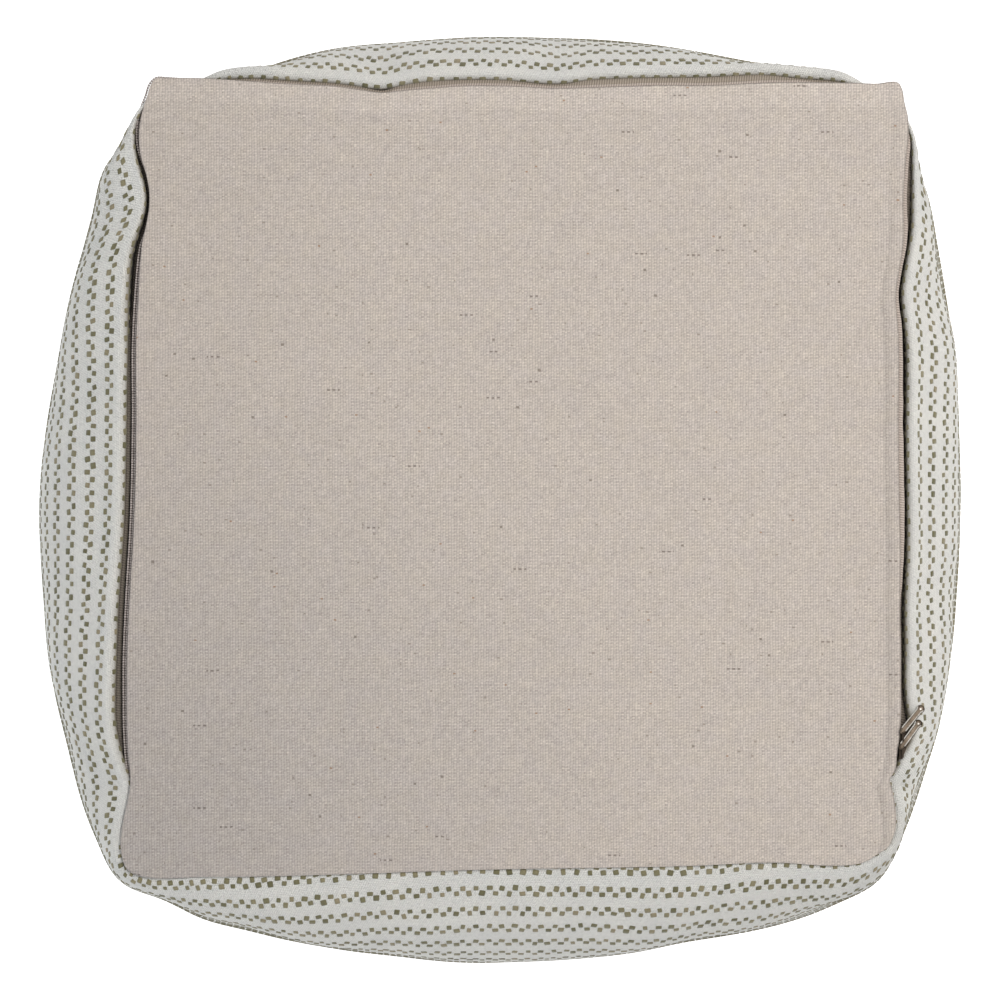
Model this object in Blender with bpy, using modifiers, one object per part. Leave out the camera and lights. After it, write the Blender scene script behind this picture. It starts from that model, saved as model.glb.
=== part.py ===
# A cube pouf stool, turned over: it lies on its seat, with the zipped canvas base on top.
#
# Metres, +Z up. The origin is on the floor, under the middle of the pouf. The base is sewn
# straight to the cover along the -Y side. The zip runs round the +X, +Y and -X sides.
#
# The cover is one filled solid, a loft of rings that start inside the base's edge, go over
# the zip's groove and the cover's folded edge, down the bulging walls and in under the seat.
# Heights called "rise" are measured from the top of the filled cover at the base's edge.

import bpy
import bmesh
from math import asin, atan2, cos, degrees, exp, pi, radians, sin, tan
from mathutils import Matrix, Vector

COLLECTION = "cube_pouf_stool"

# Heights
RIM_HEIGHT = 0.440          # top of the filled cover at the edge of the base
CROWN = 0.008               # how far the middle of the base stands above its edge
UPPER_BULGE = 0.150         # from the rim down to where the walls stand upright
LOWER_BULGE = 0.150         # from there down, the same curve below
SEAT_SEAM_HEIGHT = 0.028    # the seat's edge, lifted off the floor by the filling

# Widest outline: a superellipse, pushed out and drawn in at a few places
HALF_WIDTH = 0.287
SQUARENESS = 2.9
WALL_ROUNDNESS = 2.2        # exponent of the walls' quarter curve, 2 is an ellipse
MIDDLE_SWELL = 0.0015       # extra width half way up

# Seat outline, below
SEAT_HALF = 0.236
SEAT_CORNER = 0.035
SEAT_FLAT = 0.80            # share of the seat that lies flat on the floor

# Clearance between pieces that touch
GAP = 0.0003

# Base panel
SHEET = 0.0012
# x, y, corner radius of the canvas, corner radius of the cover under it
BASE_CORNERS = (
    (0.2385, -0.2199, 0.016, 0.016),
    (0.2408, 0.2496, 0.004, 0.060),
    (-0.2148, 0.2529, 0.014, 0.060),
    (-0.2289, -0.2259, 0.018, 0.018),
)

# Rings of the outline: steps along a side and round a corner
SIDE_STEPS = 22
CORNER_STEPS = 6
ZIP_END = 0.10              # where the zip stops, as a share of a side, from the -Y corner
ZIP_FADE = 0.015            # the groove closes over this share of the side
LIP_CLEAR = 0.036           # the folded edge is tucked in this near to a free corner
LIP_FADE = 0.030
PRESSED_BELOW = -0.105      # the pulls press the folded edge down below this y, at +X
PRESSED_LIP = 0.15

# Places where the base's edge is drawn in: direction, amount, width of the pull
# (a negative amount pushes the edge out)
EDGE_PULLS = (
    (27.7, 0.0026, 3.2),
    (39.5, -0.0045, 4.0),
    (106.9, 0.0054, 4.5),
    (140.0, 0.0055, 3.4),
    (180.0, 0.0040, 12.0),
    (216.8, 0.0045, 2.6),
    (306.2, 0.0030, 3.5),
)

# Places where the widest outline stands out or draws in: direction, amount, width
WAIST_PUSHES = (
    (41.0, 0.0125, 6.0),
    (119.0, -0.0060, 6.0),
    (137.0, 0.0120, 7.0),
    (155.0, -0.0110, 8.0),
    (224.0, 0.0130, 5.0),
    (314.0, 0.0110, 4.5),
)

# Soft troughs in the walls: direction, depth, width, and how far below the rim they are deepest
WALL_TROUGHS = (
    (28.0, 0.0040, 3.4, 0.030),
    (64.0, 0.0025, 3.0, 0.040),
    (107.0, 0.0045, 3.6, 0.030),
    (140.0, 0.0060, 3.2, 0.035),
    (163.0, 0.0025, 3.0, 0.045),
    (196.0, 0.0025, 3.0, 0.040),
    (217.0, 0.0040, 2.8, 0.030),
    (250.0, 0.0020, 3.0, 0.040),
    (285.0, 0.0020, 3.2, 0.035),
    (306.0, 0.0045, 3.0, 0.030),
    (340.0, 0.0025, 3.0, 0.040),
)

# Section of the cover's edge, from under the base outwards.
# zip_out and zip_rise hold where the zip runs, lip_rise is added where the folded edge
# stands up, tucked_out holds where that edge is tucked under a free corner of the base,
# and seam_out and seam_rise hold where the base is sewn straight on.
EDGE_SECTION = (
    # zip_out, zip_rise, lip_rise, tucked_out, seam_out, seam_rise
    (-0.0030, 0.0000, 0.0000, -0.0030, -0.0030, 0.0000),
    (-0.0006, 0.0000, 0.0000, -0.0006, -0.0022, 0.0000),
    (-0.0003, -0.0040, 0.0000, -0.0003, -0.0014, 0.0000),
    (0.0060, -0.0040, 0.0000, 0.0060, -0.0006, 0.0000),
    (0.0064, -0.0005, 0.0017, 0.0062, 0.0002, 0.0000),
    (0.0072, -0.0002, 0.0026, 0.0065, 0.0010, -0.0001),
    (0.0086, -0.0003, 0.0026, 0.0070, 0.0020, -0.0004),
    (0.0102, -0.0010, 0.0016, 0.0076, 0.0032, -0.0009),
    (0.0112, -0.0024, 0.0008, 0.0083, 0.0046, -0.0018),
)

# Crowned middle of the base, level from BASE_HALF outwards
BASE_MIDDLE = (0.006, 0.0145)
BASE_HALF = 0.224
BASE_SQUARENESS = 4.0
CROWN_RINGS = (0.15, 0.35, 0.55, 0.72, 0.85, 0.94)
WALL_STEPS = 10
SEAT_STEPS = 4
SHARP_ANGLE = 40.0          # degrees between faces that meet in a sharp edge

# Zip: edges across the chain, measured out from the base's edge, and heights as rises
TAPE_IN = 0.0004
TAPE_OUT = 0.0056
TAPE_BOTTOM = -0.0040 + GAP
TAPE_THICK = 0.0008
CHAIN_IN = 0.0006
CHAIN_OUT = 0.0040
CHAIN_BOTTOM = TAPE_BOTTOM + TAPE_THICK + GAP
CHAIN_THICK = 0.0019

# Sliders and pulls, near the zip's end on the +X side
SLIDER_Y = (-0.1519, -0.1428)
SLIDER_OUT = 0.0028         # middle of a slider, out from the base's edge
SLIDER_WIDE = 0.0046
SLIDER_LONG = 0.0074
SLIDER_BOTTOM = CHAIN_BOTTOM + CHAIN_THICK + GAP
SLIDER_TOP = 0.0015
SLIDER_ROUND = 0.0004
BRIDGE_WIDE = 0.0010
BRIDGE_LONG = 0.0050
BRIDGE_BAR = 0.0008
BRIDGE_TOP = 0.0042
WINDOW_WIDE = 3 * BRIDGE_WIDE
PULL_THICK = 0.0008
PULL_RISE = 0.00255         # middle of the pull's plate at its eye
PULL_EYE = 0.00175          # radius round the eye
PULL_HOLE = 0.00095
PULL_HEAD = 0.0025          # radius of the broad end
PULL_REACH = 0.0195         # from the eye to the middle of the broad end
PULL_TURN = 49.8            # degrees from +X towards +Y
PULL_DROOP = 4.0            # degrees down towards the broad end
PULL_STEPS = 16

# Finish of each sub-part: base colour, roughness, metallic
CLOTH = ((0.66, 0.66, 0.63), 0.9, 0.0)
CANVAS = ((0.50, 0.46, 0.42), 0.9, 0.0)
TAPE = ((0.16, 0.13, 0.11), 0.8, 0.0)
COIL = ((0.33, 0.29, 0.26), 0.5, 0.0)
METAL = ((0.55, 0.48, 0.40), 0.3, 1.0)


def clear_scene():
    for old in list(bpy.data.objects):
        bpy.data.objects.remove(old, do_unlink=True)


def bell(direction, centre, width):
    """A smooth hump of height 1 round a compass direction, all in degrees."""
    turn = (direction - centre + 180.0) % 360.0 - 180.0
    return exp(-0.5 * (turn / width) ** 2)


def bearing(point):
    return degrees(atan2(point[1], point[0]))


def edge_pull(direction):
    return sum(amount * bell(direction, at, width) for at, amount, width in EDGE_PULLS)


def waist_radius(direction):
    """Distance from the axis to the widest outline."""
    across = abs(cos(radians(direction))) ** SQUARENESS
    along = abs(sin(radians(direction))) ** SQUARENESS
    pushed = sum(amount * bell(direction, at, width) for at, amount, width in WAIST_PUSHES)
    return HALF_WIDTH * (across + along) ** (-1.0 / SQUARENESS) + pushed


def wall_trough(direction, below_rim):
    """How far a point on the walls is drawn in by the troughs."""
    total = 0.0
    for at, depth, width, deepest in WALL_TROUGHS:
        down = below_rim / deepest
        total += depth * bell(direction, at, width) * down * exp(1.0 - down)
    return total


def side_shares(side):
    """Shares of a side at which the outline has points: closer together at the zip's end."""
    if side not in (0, 2):
        return [step / SIDE_STEPS for step in range(1, SIDE_STEPS)]
    below = [ZIP_END / 2, ZIP_END - ZIP_FADE, ZIP_END]
    rest = SIDE_STEPS - len(below)
    above = [ZIP_END + (1.0 - ZIP_END) * step / rest for step in range(1, rest)]
    shares = below + above
    if side == 2:
        shares = [1.0 - share for share in reversed(shares)]
    return shares


def outward(direction):
    """The outward normal of an edge that runs anticlockwise along a direction."""
    return Vector((direction.y, -direction.x))


def rounded_outline(corners):
    """A four-sided outline with round corners, anticlockwise from the first corner.

    corners holds x, y and radius. Each point is a tuple: place, outward normal, the side
    it lies on or leads into, and its share of that side, which is None on a corner.
    """
    count = len(corners)
    places = [Vector(corner[:2]) for corner in corners]
    arcs = []
    for index, here in enumerate(places):
        radius = corners[index][2]
        way_in = (here - places[index - 1]).normalized()
        way_out = (places[(index + 1) % count] - here).normalized()
        turn = way_in.angle(way_out)
        centre = here - way_in * radius * tan(turn / 2) - outward(way_in) * radius
        normals = [Matrix.Rotation(turn * step / CORNER_STEPS, 2) @ outward(way_in)
                   for step in range(CORNER_STEPS + 1)]
        arcs.append([(centre + normal * radius, normal) for normal in normals])
    outline = []
    for index, arc in enumerate(arcs):
        outline += [(place, normal, index, None) for place, normal in arc]
        first, normal = arc[-1]
        last = arcs[(index + 1) % count][0][0]
        outline += [(first.lerp(last, share), normal, index, share)
                    for share in side_shares(index)]
    return outline


def on_zip(side, share):
    """Whether the zip runs here, or the base is sewn straight to the cover."""
    if share is None:
        return side in (1, 2)
    if side in (1, 3):
        return side == 1
    from_end = share if side == 0 else 1.0 - share
    return from_end > ZIP_END - ZIP_FADE / 2


def lip_width(place):
    """0 where the cover's folded edge is tucked under a free corner of the base, else 1."""
    nearest = min((place - Vector(corner[:2])).length for corner in BASE_CORNERS[1:3])
    return min(max((nearest - LIP_CLEAR) / LIP_FADE, 0.0), 1.0)


def lip_share(place, side):
    """How far the folded edge stands up, less where it is tucked in or under the pulls."""
    pressed = side == 0 and place.y < PRESSED_BELOW
    return PRESSED_LIP if pressed else lip_width(place)


def edge_outline(radius_column):
    """The outline of the base's edge, drawn in where the cloth pulls it."""
    corners = [(corner[0], corner[1], corner[radius_column]) for corner in BASE_CORNERS]
    return [(place - normal * edge_pull(bearing(place)), normal, side, share)
            for place, normal, side, share in rounded_outline(corners)]


def crown_rise(place):
    """Rise of the base's middle over its edge."""
    across = abs(place.x - BASE_MIDDLE[0]) / BASE_HALF
    along = abs(place.y - BASE_MIDDLE[1]) / BASE_HALF
    from_middle = (across ** BASE_SQUARENESS + along ** BASE_SQUARENESS) ** (1 / BASE_SQUARENESS)
    return CROWN * max(0.0, 1.0 - from_middle ** 2) ** 2


def crown_ring(edge, scale, lift):
    """A ring of the crowned middle: the edge drawn towards the base's middle."""
    middle = Vector(BASE_MIDDLE)
    ring = []
    for place in edge:
        spot = middle.lerp(place, scale)
        ring.append(Vector((spot.x, spot.y, RIM_HEIGHT + crown_rise(spot) + lift)))
    return ring


def edge_ring(outline, row):
    """A ring of the cover's edge, from a row of EDGE_SECTION."""
    zip_out, zip_rise, lip_rise, tucked_out, seam_out, seam_rise = row
    ring = []
    for place, normal, side, share in outline:
        out = seam_out
        rise = seam_rise
        if on_zip(side, share):
            out = tucked_out + (zip_out - tucked_out) * lip_width(place)
            rise = zip_rise + lip_rise * lip_share(place, side)
        spot = place + normal * out
        ring.append(Vector((spot.x, spot.y, RIM_HEIGHT + rise)))
    return ring


def bulge(step):
    """Share of the way out and share of the way down, along a wall's quarter curve."""
    angle = pi / 2 * step / WALL_STEPS
    power = 2.0 / WALL_ROUNDNESS
    return abs(sin(angle)) ** power, 1.0 - abs(cos(angle)) ** power


def wall_ring(start, waist, waist_height, step):
    """A ring between a seam and the upright stretch of the walls."""
    way_out, way_down = bulge(step)
    ring = []
    for seam, wide in zip(start, waist):
        spot = seam.xy.lerp(wide, way_out)
        height = seam.z + (waist_height - seam.z) * way_down
        direction = bearing(wide)
        spot -= wide.normalized() * wall_trough(direction, max(RIM_HEIGHT - height, 0.0))
        ring.append(Vector((spot.x, spot.y, height)))
    return ring


def seat_ring(outline, step):
    """A ring of the seat, from its seam in to the flat on the floor."""
    inward = step / SEAT_STEPS
    scale = 1.0 - (1.0 - SEAT_FLAT) * inward
    height = SEAT_SEAM_HEIGHT * (1.0 - inward) ** 2
    return [Vector((place.x * scale, place.y * scale, height)) for place in outline]


def strip_faces(shape, upper, lower, closed):
    """Quads between two rows of vertices."""
    count = len(upper)
    for index in range(count if closed else count - 1):
        after = (index + 1) % count
        shape.faces.new((upper[index], lower[index], lower[after], upper[after]))


def rows_of(shape, rings):
    return [[shape.verts.new(spot) for spot in ring] for ring in rings]


def material_for(name, finish):
    colour, roughness, metallic = finish
    material = bpy.data.materials.new(name)
    material.use_nodes = True
    shader = material.node_tree.nodes["Principled BSDF"]
    shader.inputs["Base Color"].default_value = (*colour, 1.0)
    shader.inputs["Roughness"].default_value = roughness
    shader.inputs["Metallic"].default_value = metallic
    return material


def add_object(name, data, finish, collection):
    piece = bpy.data.objects.new(name, data)
    collection.objects.link(piece)
    data.materials.append(material_for(name, finish))
    return piece


def mesh_from(shape, name):
    mesh = bpy.data.meshes.new(name)
    shape.to_mesh(mesh)
    shape.free()
    mesh.shade_smooth()
    mesh.set_sharp_from_angle(angle=radians(SHARP_ANGLE))
    return mesh


def thicken(piece, thickness):
    """Give an open sheet its thickness, on its upper side."""
    solidify = piece.modifiers.new("Thickness", "SOLIDIFY")
    solidify.thickness = thickness
    solidify.offset = 1.0


def filled_cover(collection):
    """The filled cover: base bed, zip groove, folded edge, bulging walls and flat seat."""
    outline = edge_outline(3)
    edge = [edge_ring(outline, row) for row in EDGE_SECTION]
    bed = [spot.xy for spot in edge[0]]
    rings = [crown_ring(bed, scale, 0.0) for scale in CROWN_RINGS] + edge

    waist = []
    for spot in edge[-1]:
        direction = bearing(spot)
        reach = waist_radius(direction)
        waist.append(Vector((cos(radians(direction)) * reach, sin(radians(direction)) * reach)))
    upper = RIM_HEIGHT - UPPER_BULGE
    lower = SEAT_SEAM_HEIGHT + LOWER_BULGE
    rings += [wall_ring(edge[-1], waist, upper, step) for step in range(1, WALL_STEPS + 1)]

    swollen = [wide + wide.normalized() * MIDDLE_SWELL for wide in waist]
    rings.append([Vector((wide.x, wide.y, (upper + lower) / 2)) for wide in swollen])

    corners = [(x * SEAT_HALF, y * SEAT_HALF, SEAT_CORNER)
               for x, y in ((1, -1), (1, 1), (-1, 1), (-1, -1))]
    seat = [place for place, _, _, _ in rounded_outline(corners)]
    seam = seat_ring(seat, 0)
    rings += [wall_ring(seam, waist, lower, step) for step in range(WALL_STEPS, -1, -1)]
    rings += [seat_ring(seat, step) for step in range(1, SEAT_STEPS + 1)]

    shape = bmesh.new()
    rows = rows_of(shape, rings)
    for upper_row, lower_row in zip(rows, rows[1:]):
        strip_faces(shape, upper_row, lower_row, closed=True)
    shape.faces.new(rows[0])
    shape.faces.new(reversed(rows[-1]))
    return add_object("filled_cover", mesh_from(shape, "filled_cover"), CLOTH, collection)


def base_panel(collection):
    """The canvas base, a crowned sheet whose two +Y corners stand free over the cover."""
    edge = [place for place, _, _, _ in edge_outline(2)]
    rings = [crown_ring(edge, scale, GAP) for scale in (*CROWN_RINGS, 1.0)]
    shape = bmesh.new()
    rows = rows_of(shape, rings)
    for inner, outer in zip(rows, rows[1:]):
        strip_faces(shape, inner, outer, closed=True)
    shape.faces.new(rows[0])
    panel = add_object("base_panel", mesh_from(shape, "base_panel"), CANVAS, collection)
    thicken(panel, SHEET)
    return panel


def zip_strip(name, across, bottom, thickness, finish, collection):
    """A flat strip that follows the zip, across holds its inner and outer edge."""
    stretch = [(place, normal) for place, normal, side, share in edge_outline(3)
               if on_zip(side, share)]
    rails = []
    for out in across:
        spots = [place + normal * out for place, normal in stretch]
        rails.append([Vector((spot.x, spot.y, RIM_HEIGHT + bottom)) for spot in spots])
    shape = bmesh.new()
    inner, outer = rows_of(shape, rails)
    strip_faces(shape, inner, outer, closed=False)
    strip = add_object(name, mesh_from(shape, name), finish, collection)
    thicken(strip, thickness)
    return strip


def edge_at(outline, y):
    """Place and outward normal on the +X side of the outline, at a given y."""
    side = [(place, normal) for place, normal, index, share in outline
            if index == 0 and share is not None]
    for (first, normal), (second, _) in zip(side, side[1:]):
        if first.y <= y <= second.y:
            return first.lerp(second, (y - first.y) / (second.y - first.y)), normal
    raise ValueError("no edge there")


def box(name, size, middle, parent, collection):
    """A box of a given size, in its parent's space."""
    shape = bmesh.new()
    bmesh.ops.create_cube(shape, size=1.0)
    bmesh.ops.scale(shape, vec=size, verts=shape.verts)
    mesh = bpy.data.meshes.new(name)
    shape.to_mesh(mesh)
    shape.free()
    piece = bpy.data.objects.new(name, mesh)
    piece.location = middle
    piece.parent = parent
    collection.objects.link(piece)
    return piece


def boolean(piece, other, operation):
    modifier = piece.modifiers.new(operation.title(), "BOOLEAN")
    modifier.operation = operation
    modifier.object = other
    other.hide_render = True
    other.display_type = "WIRE"


def zip_slider(number, seat, collection, helpers):
    """A slider's top plate over the chain, with the bridge that holds its pull."""
    name = f"zip_slider_{number}"
    height = SLIDER_TOP - SLIDER_BOTTOM
    plate = box(name, (SLIDER_WIDE, SLIDER_LONG, height),
                (0, 0, SLIDER_BOTTOM + height / 2), seat, collection)
    plate.data.materials.append(material_for(name, METAL))
    bevel = plate.modifiers.new("Rounded edges", "BEVEL")
    bevel.width = SLIDER_ROUND
    bevel.segments = 2
    root = SLIDER_TOP - height / 2
    bridge = box(f"bridge_{number}", (BRIDGE_WIDE, BRIDGE_LONG, BRIDGE_TOP - root),
                 (0, 0, (BRIDGE_TOP + root) / 2), seat, helpers)
    window_top = BRIDGE_TOP - BRIDGE_BAR
    window = box(f"window_{number}",
                 (WINDOW_WIDE, BRIDGE_LONG - 2 * BRIDGE_BAR, window_top - SLIDER_TOP),
                 (0, 0, (window_top + SLIDER_TOP) / 2), seat, helpers)
    boolean(bridge, window, "DIFFERENCE")
    boolean(plate, bridge, "UNION")
    return plate


def add_spline(curve, spots):
    spline = curve.splines.new("POLY")
    spline.points.add(len(spots) - 1)
    for point, (x, y) in zip(spline.points, spots):
        point.co = (x, y, 0.0, 1.0)
    spline.use_cyclic_u = True


def arc_spots(centre_x, radius, start, end, steps):
    """Points on an arc whose centre lies on the x axis, angles in radians."""
    angles = [start + (end - start) * step / steps for step in range(steps + 1)]
    return [(centre_x + cos(angle) * radius, sin(angle) * radius) for angle in angles]


def zip_pull(number, seat, collection):
    """A tapered pull whose eye goes round a leg of the slider's bridge."""
    name = f"zip_pull_{number}"
    curve = bpy.data.curves.new(name, "CURVE")
    curve.dimensions = "2D"
    curve.fill_mode = "BOTH"
    curve.extrude = PULL_THICK / 2
    touch = pi / 2 + asin((PULL_HEAD - PULL_EYE) / PULL_REACH)
    eye = arc_spots(0.0, PULL_EYE, touch, 2 * pi - touch, PULL_STEPS)
    head = arc_spots(PULL_REACH, PULL_HEAD, -touch, touch, PULL_STEPS)
    add_spline(curve, eye + head)
    add_spline(curve, arc_spots(0.0, PULL_HOLE, 0.0, 2 * pi, PULL_STEPS)[:-1])
    pull = add_object(name, curve, METAL, collection)
    pull.parent = seat
    pull.location = (0.0, (BRIDGE_LONG - BRIDGE_BAR) / 2, PULL_RISE)
    pull.rotation_euler = (0.0, radians(PULL_DROOP), radians(PULL_TURN))
    return pull


def main():
    clear_scene()
    collection = bpy.data.collections.new(COLLECTION)
    helpers = bpy.data.collections.new("cutters")
    bpy.context.scene.collection.children.link(collection)
    bpy.context.scene.collection.children.link(helpers)

    filled_cover(collection)
    base_panel(collection)
    zip_strip("zip_tape", (TAPE_IN, TAPE_OUT), TAPE_BOTTOM, TAPE_THICK, TAPE, collection)
    zip_strip("zip_chain", (CHAIN_IN, CHAIN_OUT), CHAIN_BOTTOM, CHAIN_THICK, COIL, collection)

    outline = edge_outline(3)
    for number, y in enumerate(SLIDER_Y, start=1):
        place, normal = edge_at(outline, y)
        spot = place + normal * SLIDER_OUT
        seat = bpy.data.objects.new(f"slider_place_{number}", None)
        seat.location = (spot.x, spot.y, RIM_HEIGHT)
        seat.rotation_euler = (0.0, 0.0, radians(bearing(normal)))
        helpers.objects.link(seat)
        zip_slider(number, seat, collection, helpers)
        zip_pull(number, seat, collection)


main()
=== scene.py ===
"""A cube pouf stool that lies on its seat, dressed over its CAD frame.

Metres, +Z up, seen from straight above. The canvas base faces the camera, the cover of
block-striped cloth bulges out round it, and a coil zip joins them on three sides.
"""
from bisect import bisect_right
from math import asin, atan2, cos, degrees, exp, hypot, pi, radians, sin

import bmesh
import bpy
from mathutils import Matrix, Vector, noise


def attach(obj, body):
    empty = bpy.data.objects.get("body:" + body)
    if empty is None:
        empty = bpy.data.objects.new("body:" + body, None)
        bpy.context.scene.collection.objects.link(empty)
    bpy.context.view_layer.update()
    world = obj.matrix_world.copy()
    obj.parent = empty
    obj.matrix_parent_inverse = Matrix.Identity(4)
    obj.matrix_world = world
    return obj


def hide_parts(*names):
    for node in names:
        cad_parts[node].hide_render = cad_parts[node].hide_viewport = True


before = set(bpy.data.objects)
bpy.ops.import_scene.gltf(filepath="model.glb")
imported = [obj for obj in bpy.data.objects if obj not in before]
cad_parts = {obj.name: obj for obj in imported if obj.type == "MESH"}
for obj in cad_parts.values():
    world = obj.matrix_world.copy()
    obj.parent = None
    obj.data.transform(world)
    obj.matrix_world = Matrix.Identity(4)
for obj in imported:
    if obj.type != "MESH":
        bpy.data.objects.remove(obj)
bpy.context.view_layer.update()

MM = 0.001
SEED = 7

# Heights, the base's crown, the camera and the floor
RIM = 0.440                 # top of the filled cover at the base's edge
CANVAS_TOP = 0.4415
CROWN_MIDDLE = (0.006, 0.0145)
CROWN_HALF = 0.224          # from its middle to its edge
CROWN_RISE = 0.008
CAMERA_RISE = 3.2           # from the base up to the camera
VIEW_WIDTH = 0.6            # width of the picture at the base's height
SENSOR = 36.0
FLOOR_HALF = 14.0
FLOOR_GLOW = 0.6            # strength of the floor's own light
SKY_LIGHT = 0.55            # strength of the light from all round

# Lamps: name, place, size, power, colour
LAMPS = (
    ("key", (0.93, 0.42, 2.08), (1.1, 1.1), 24.0, (1.0, 0.965, 0.93)),
    ("fill", (-2.2, -1.0, 1.8), (2.0, 2.0), 18.5, (0.88, 0.94, 1.0)),
)

# Edge of the canvas base, anticlockwise from the zip's end at +X, in millimetres:
# x, y, and how far outside it the cover's folded edge begins. Below zero, that edge is
# tucked under a free corner of the canvas.
BASE_EDGE = (
    (234.9, -171.7, 0), (233.6, -167.4, 0), (236.5, -163.6, 0), (238.4, -151.7, 0.9),
    (239.7, -143.4, 4.2), (240.5, -133.1, 4.4), (240.8, -123.5, 2.2), (240.7, -113.9, 1.3),
    (240.6, -89.7, 1.7), (240.2, -69.3, 1.6), (240.4, -30.3, 3.1), (239.7, -0.3, 3.8),
    (239.2, 40, 3.7), (239.2, 98.7, 3.5), (237.9, 126.3, 2.2), (239.1, 134.3, 2.2),
    (242, 152.7, 2.8), (242.5, 164.1, 4.1), (242.1, 177.9, 4.7), (243.5, 202.5, 3.4),
    (245.2, 222.3, 0.2), (244.7, 230.7, -4), (242.7, 238.5, -7), (241.2, 246.9, -9.5),
    (239.9, 249.5, -11.5), (225.3, 249.8, -8.5), (217.3, 250.1, -4.5), (210.3, 250.4, -1.5),
    (203.5, 250.5, 0.0), (195.5, 250.6, 0.7), (179.1, 250.7, 1.8), (165.3, 250.6, 3.6),
    (120.3, 248.8, 4.4), (99.9, 249, 4), (69.3, 248.1, 4.3), (53.7, 247.6, 4.0), (37.5, 247.1, 2.1),
    (0.3, 248.6, 3.0), (-20.1, 248.6, 3.1), (-47.1, 246.7, 3.5), (-60, 245.6, 2.5),
    (-69.3, 244.6, 0.8), (-84, 246.2, 1.3), (-97, 248.1, 1.2), (-118, 249.3, 1.3),
    (-133, 250.0, 1.5), (-147.0, 251.2, 1.2), (-157.1, 251.9, 0.3), (-164.5, 252.4, -0.5),
    (-171.5, 252.8, -1.8), (-180.1, 253.2, -5.5), (-191.7, 253.3, -9.5), (-200.7, 253.3, -11.5),
    (-206.5, 253, -12.5), (-209.6, 249.5, -8.5), (-211.5, 242.9, -4), (-213.7, 236.8, -0.8),
    (-215.2, 230.7, 1.7), (-216.4, 222.9, 2.7), (-216, 208.5, 2.6), (-211.9, 193.5, 2.0),
    (-210.5, 184.5, 1.3), (-210.8, 173.7, 1.3), (-212.3, 165.3, 2.3), (-215.1, 152.1, 4.2),
    (-215.7, 144.9, 5.0), (-216.5, 131.7, 5.2), (-218.3, 95.7, 4.6), (-218.3, 47.7, 5.4),
    (-219.6, -12.3, 5.5), (-222.7, -66.3, 6.0), (-223.9, -96.3, 6.0), (-224, -120.3, 6.5),
    (-223.9, -135.3, 6.3), (-223.4, -147.1, 4.2), (-222.9, -154.7, 2.9), (-221.8, -165.9, 0.1),
    (-222, -170.8, 0), (-226.9, -196.9, 0), (-227.7, -204.5, 0), (-227.3, -212.1, 0),
    (-226, -217.5, 0), (-223.5, -222.1, 0), (-219.7, -224.7, 0), (-215.1, -225.9, 0),
    (-176.8, -226.2, 0), (0.3, -221.7, 0), (114.9, -219.6, 0), (168.3, -217.7, 0),
    (198.9, -219.5, 0), (210.3, -219.1, 0), (218.1, -217.5, 0), (225.7, -213.2, 0),
    (233.1, -207.7, 0), (237.1, -198.9, 0), (237.6, -187.5, 0), (236.6, -179.7, 0),
)

# Corners of the base and of the seat, anticlockwise from the lower right, and both ends of
# the zip, in millimetres
CORNERS = ((233.1, -207.7), (239.9, 249.5), (-206.5, 253.0), (-225.0, -220.0))
SEAT_CORNERS = ((226, -226), (226, 226), (-226, 226), (-226, -226))
ZIP_ENDS = ((236.5, -163.6), (-221.5, -165.9))
ZIP_FADE = 3                # dense steps in which the zipped edge becomes the sewn one

# Widest outline of the cover: compass direction, distance from the axis in millimetres
WAIST = (
    (0, 288.0), (10, 290.8), (20, 302.1), (30, 317.7), (35, 328.6), (40, 335.0), (45, 341.0),
    (50, 340.5), (60, 316.2), (70, 302.2), (80, 292.8), (90, 289.5), (100, 292.1), (110, 300.3),
    (120, 308.6), (125, 316.1), (130, 323.2), (135, 323.0), (140, 323.2), (145, 311.2),
    (150, 303.1), (160, 292.0), (170, 288.4), (180, 288.0), (190, 292.3), (200, 299.9),
    (210, 312.2), (220, 329.3), (225, 337.4), (230, 326.2), (235, 320.8), (240, 312.6),
    (250, 299.5), (260, 291.6), (270, 289.8), (280, 291.7), (290, 297.5), (300, 312.1),
    (310, 329.7), (315, 336.2), (320, 329.0), (330, 312.3), (340, 299.7), (350, 290.9),
)
WAIST_CORNERS = (315.5, 43.0, 134.0, 224.5)
MIDDLE_SHIFTS = (4.4, 21.3, -5.7, -15.8)    # sewn side, then +X, +Y and -X, in millimetres
WAIST_HEIGHT = 0.302
LOWER_WAIST_HEIGHT = 0.176
WALL_SWELL = 0.909          # power of the wall's turn in towards the seat

# Radius of the cloth's turn from the base down into the wall: direction, millimetres
SHOULDERS = (
    (0, 75), (25, 65), (45, 34), (65, 62), (90, 75), (115, 58), (134, 33), (150, 42), (165, 68),
    (180, 78), (205, 70), (224, 34), (240, 48), (255, 75), (270, 88), (285, 78), (300, 52),
    (315, 34), (335, 60),
)

# How far the cloth drops behind its folded edge: direction, millimetres
DROPS = (
    (0, 9.5), (10, 8.0), (25, 5.0), (45, 1.0), (60, 0.8), (90, 0.2), (135, 0.2), (150, 2.0),
    (165, 4.0), (205, 4.0), (222, 0.3), (270, 0.2), (300, 0.2), (325, 2.0), (345, 7.0),
)

# Share of its usual width that the rolled edge of the cover has, by direction
ROLL_WIDTHS = (
    (0, 1.0), (28, 0.95), (36, 0.62), (43, 0.5), (48.5, 1.0), (54, 1.15), (62, 1.0), (112, 1.0),
    (119, 1.2), (125, 1.0), (130, 0.5), (138, 0.5), (146, 0.85), (155, 1.0), (345, 1.0),
)

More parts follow.
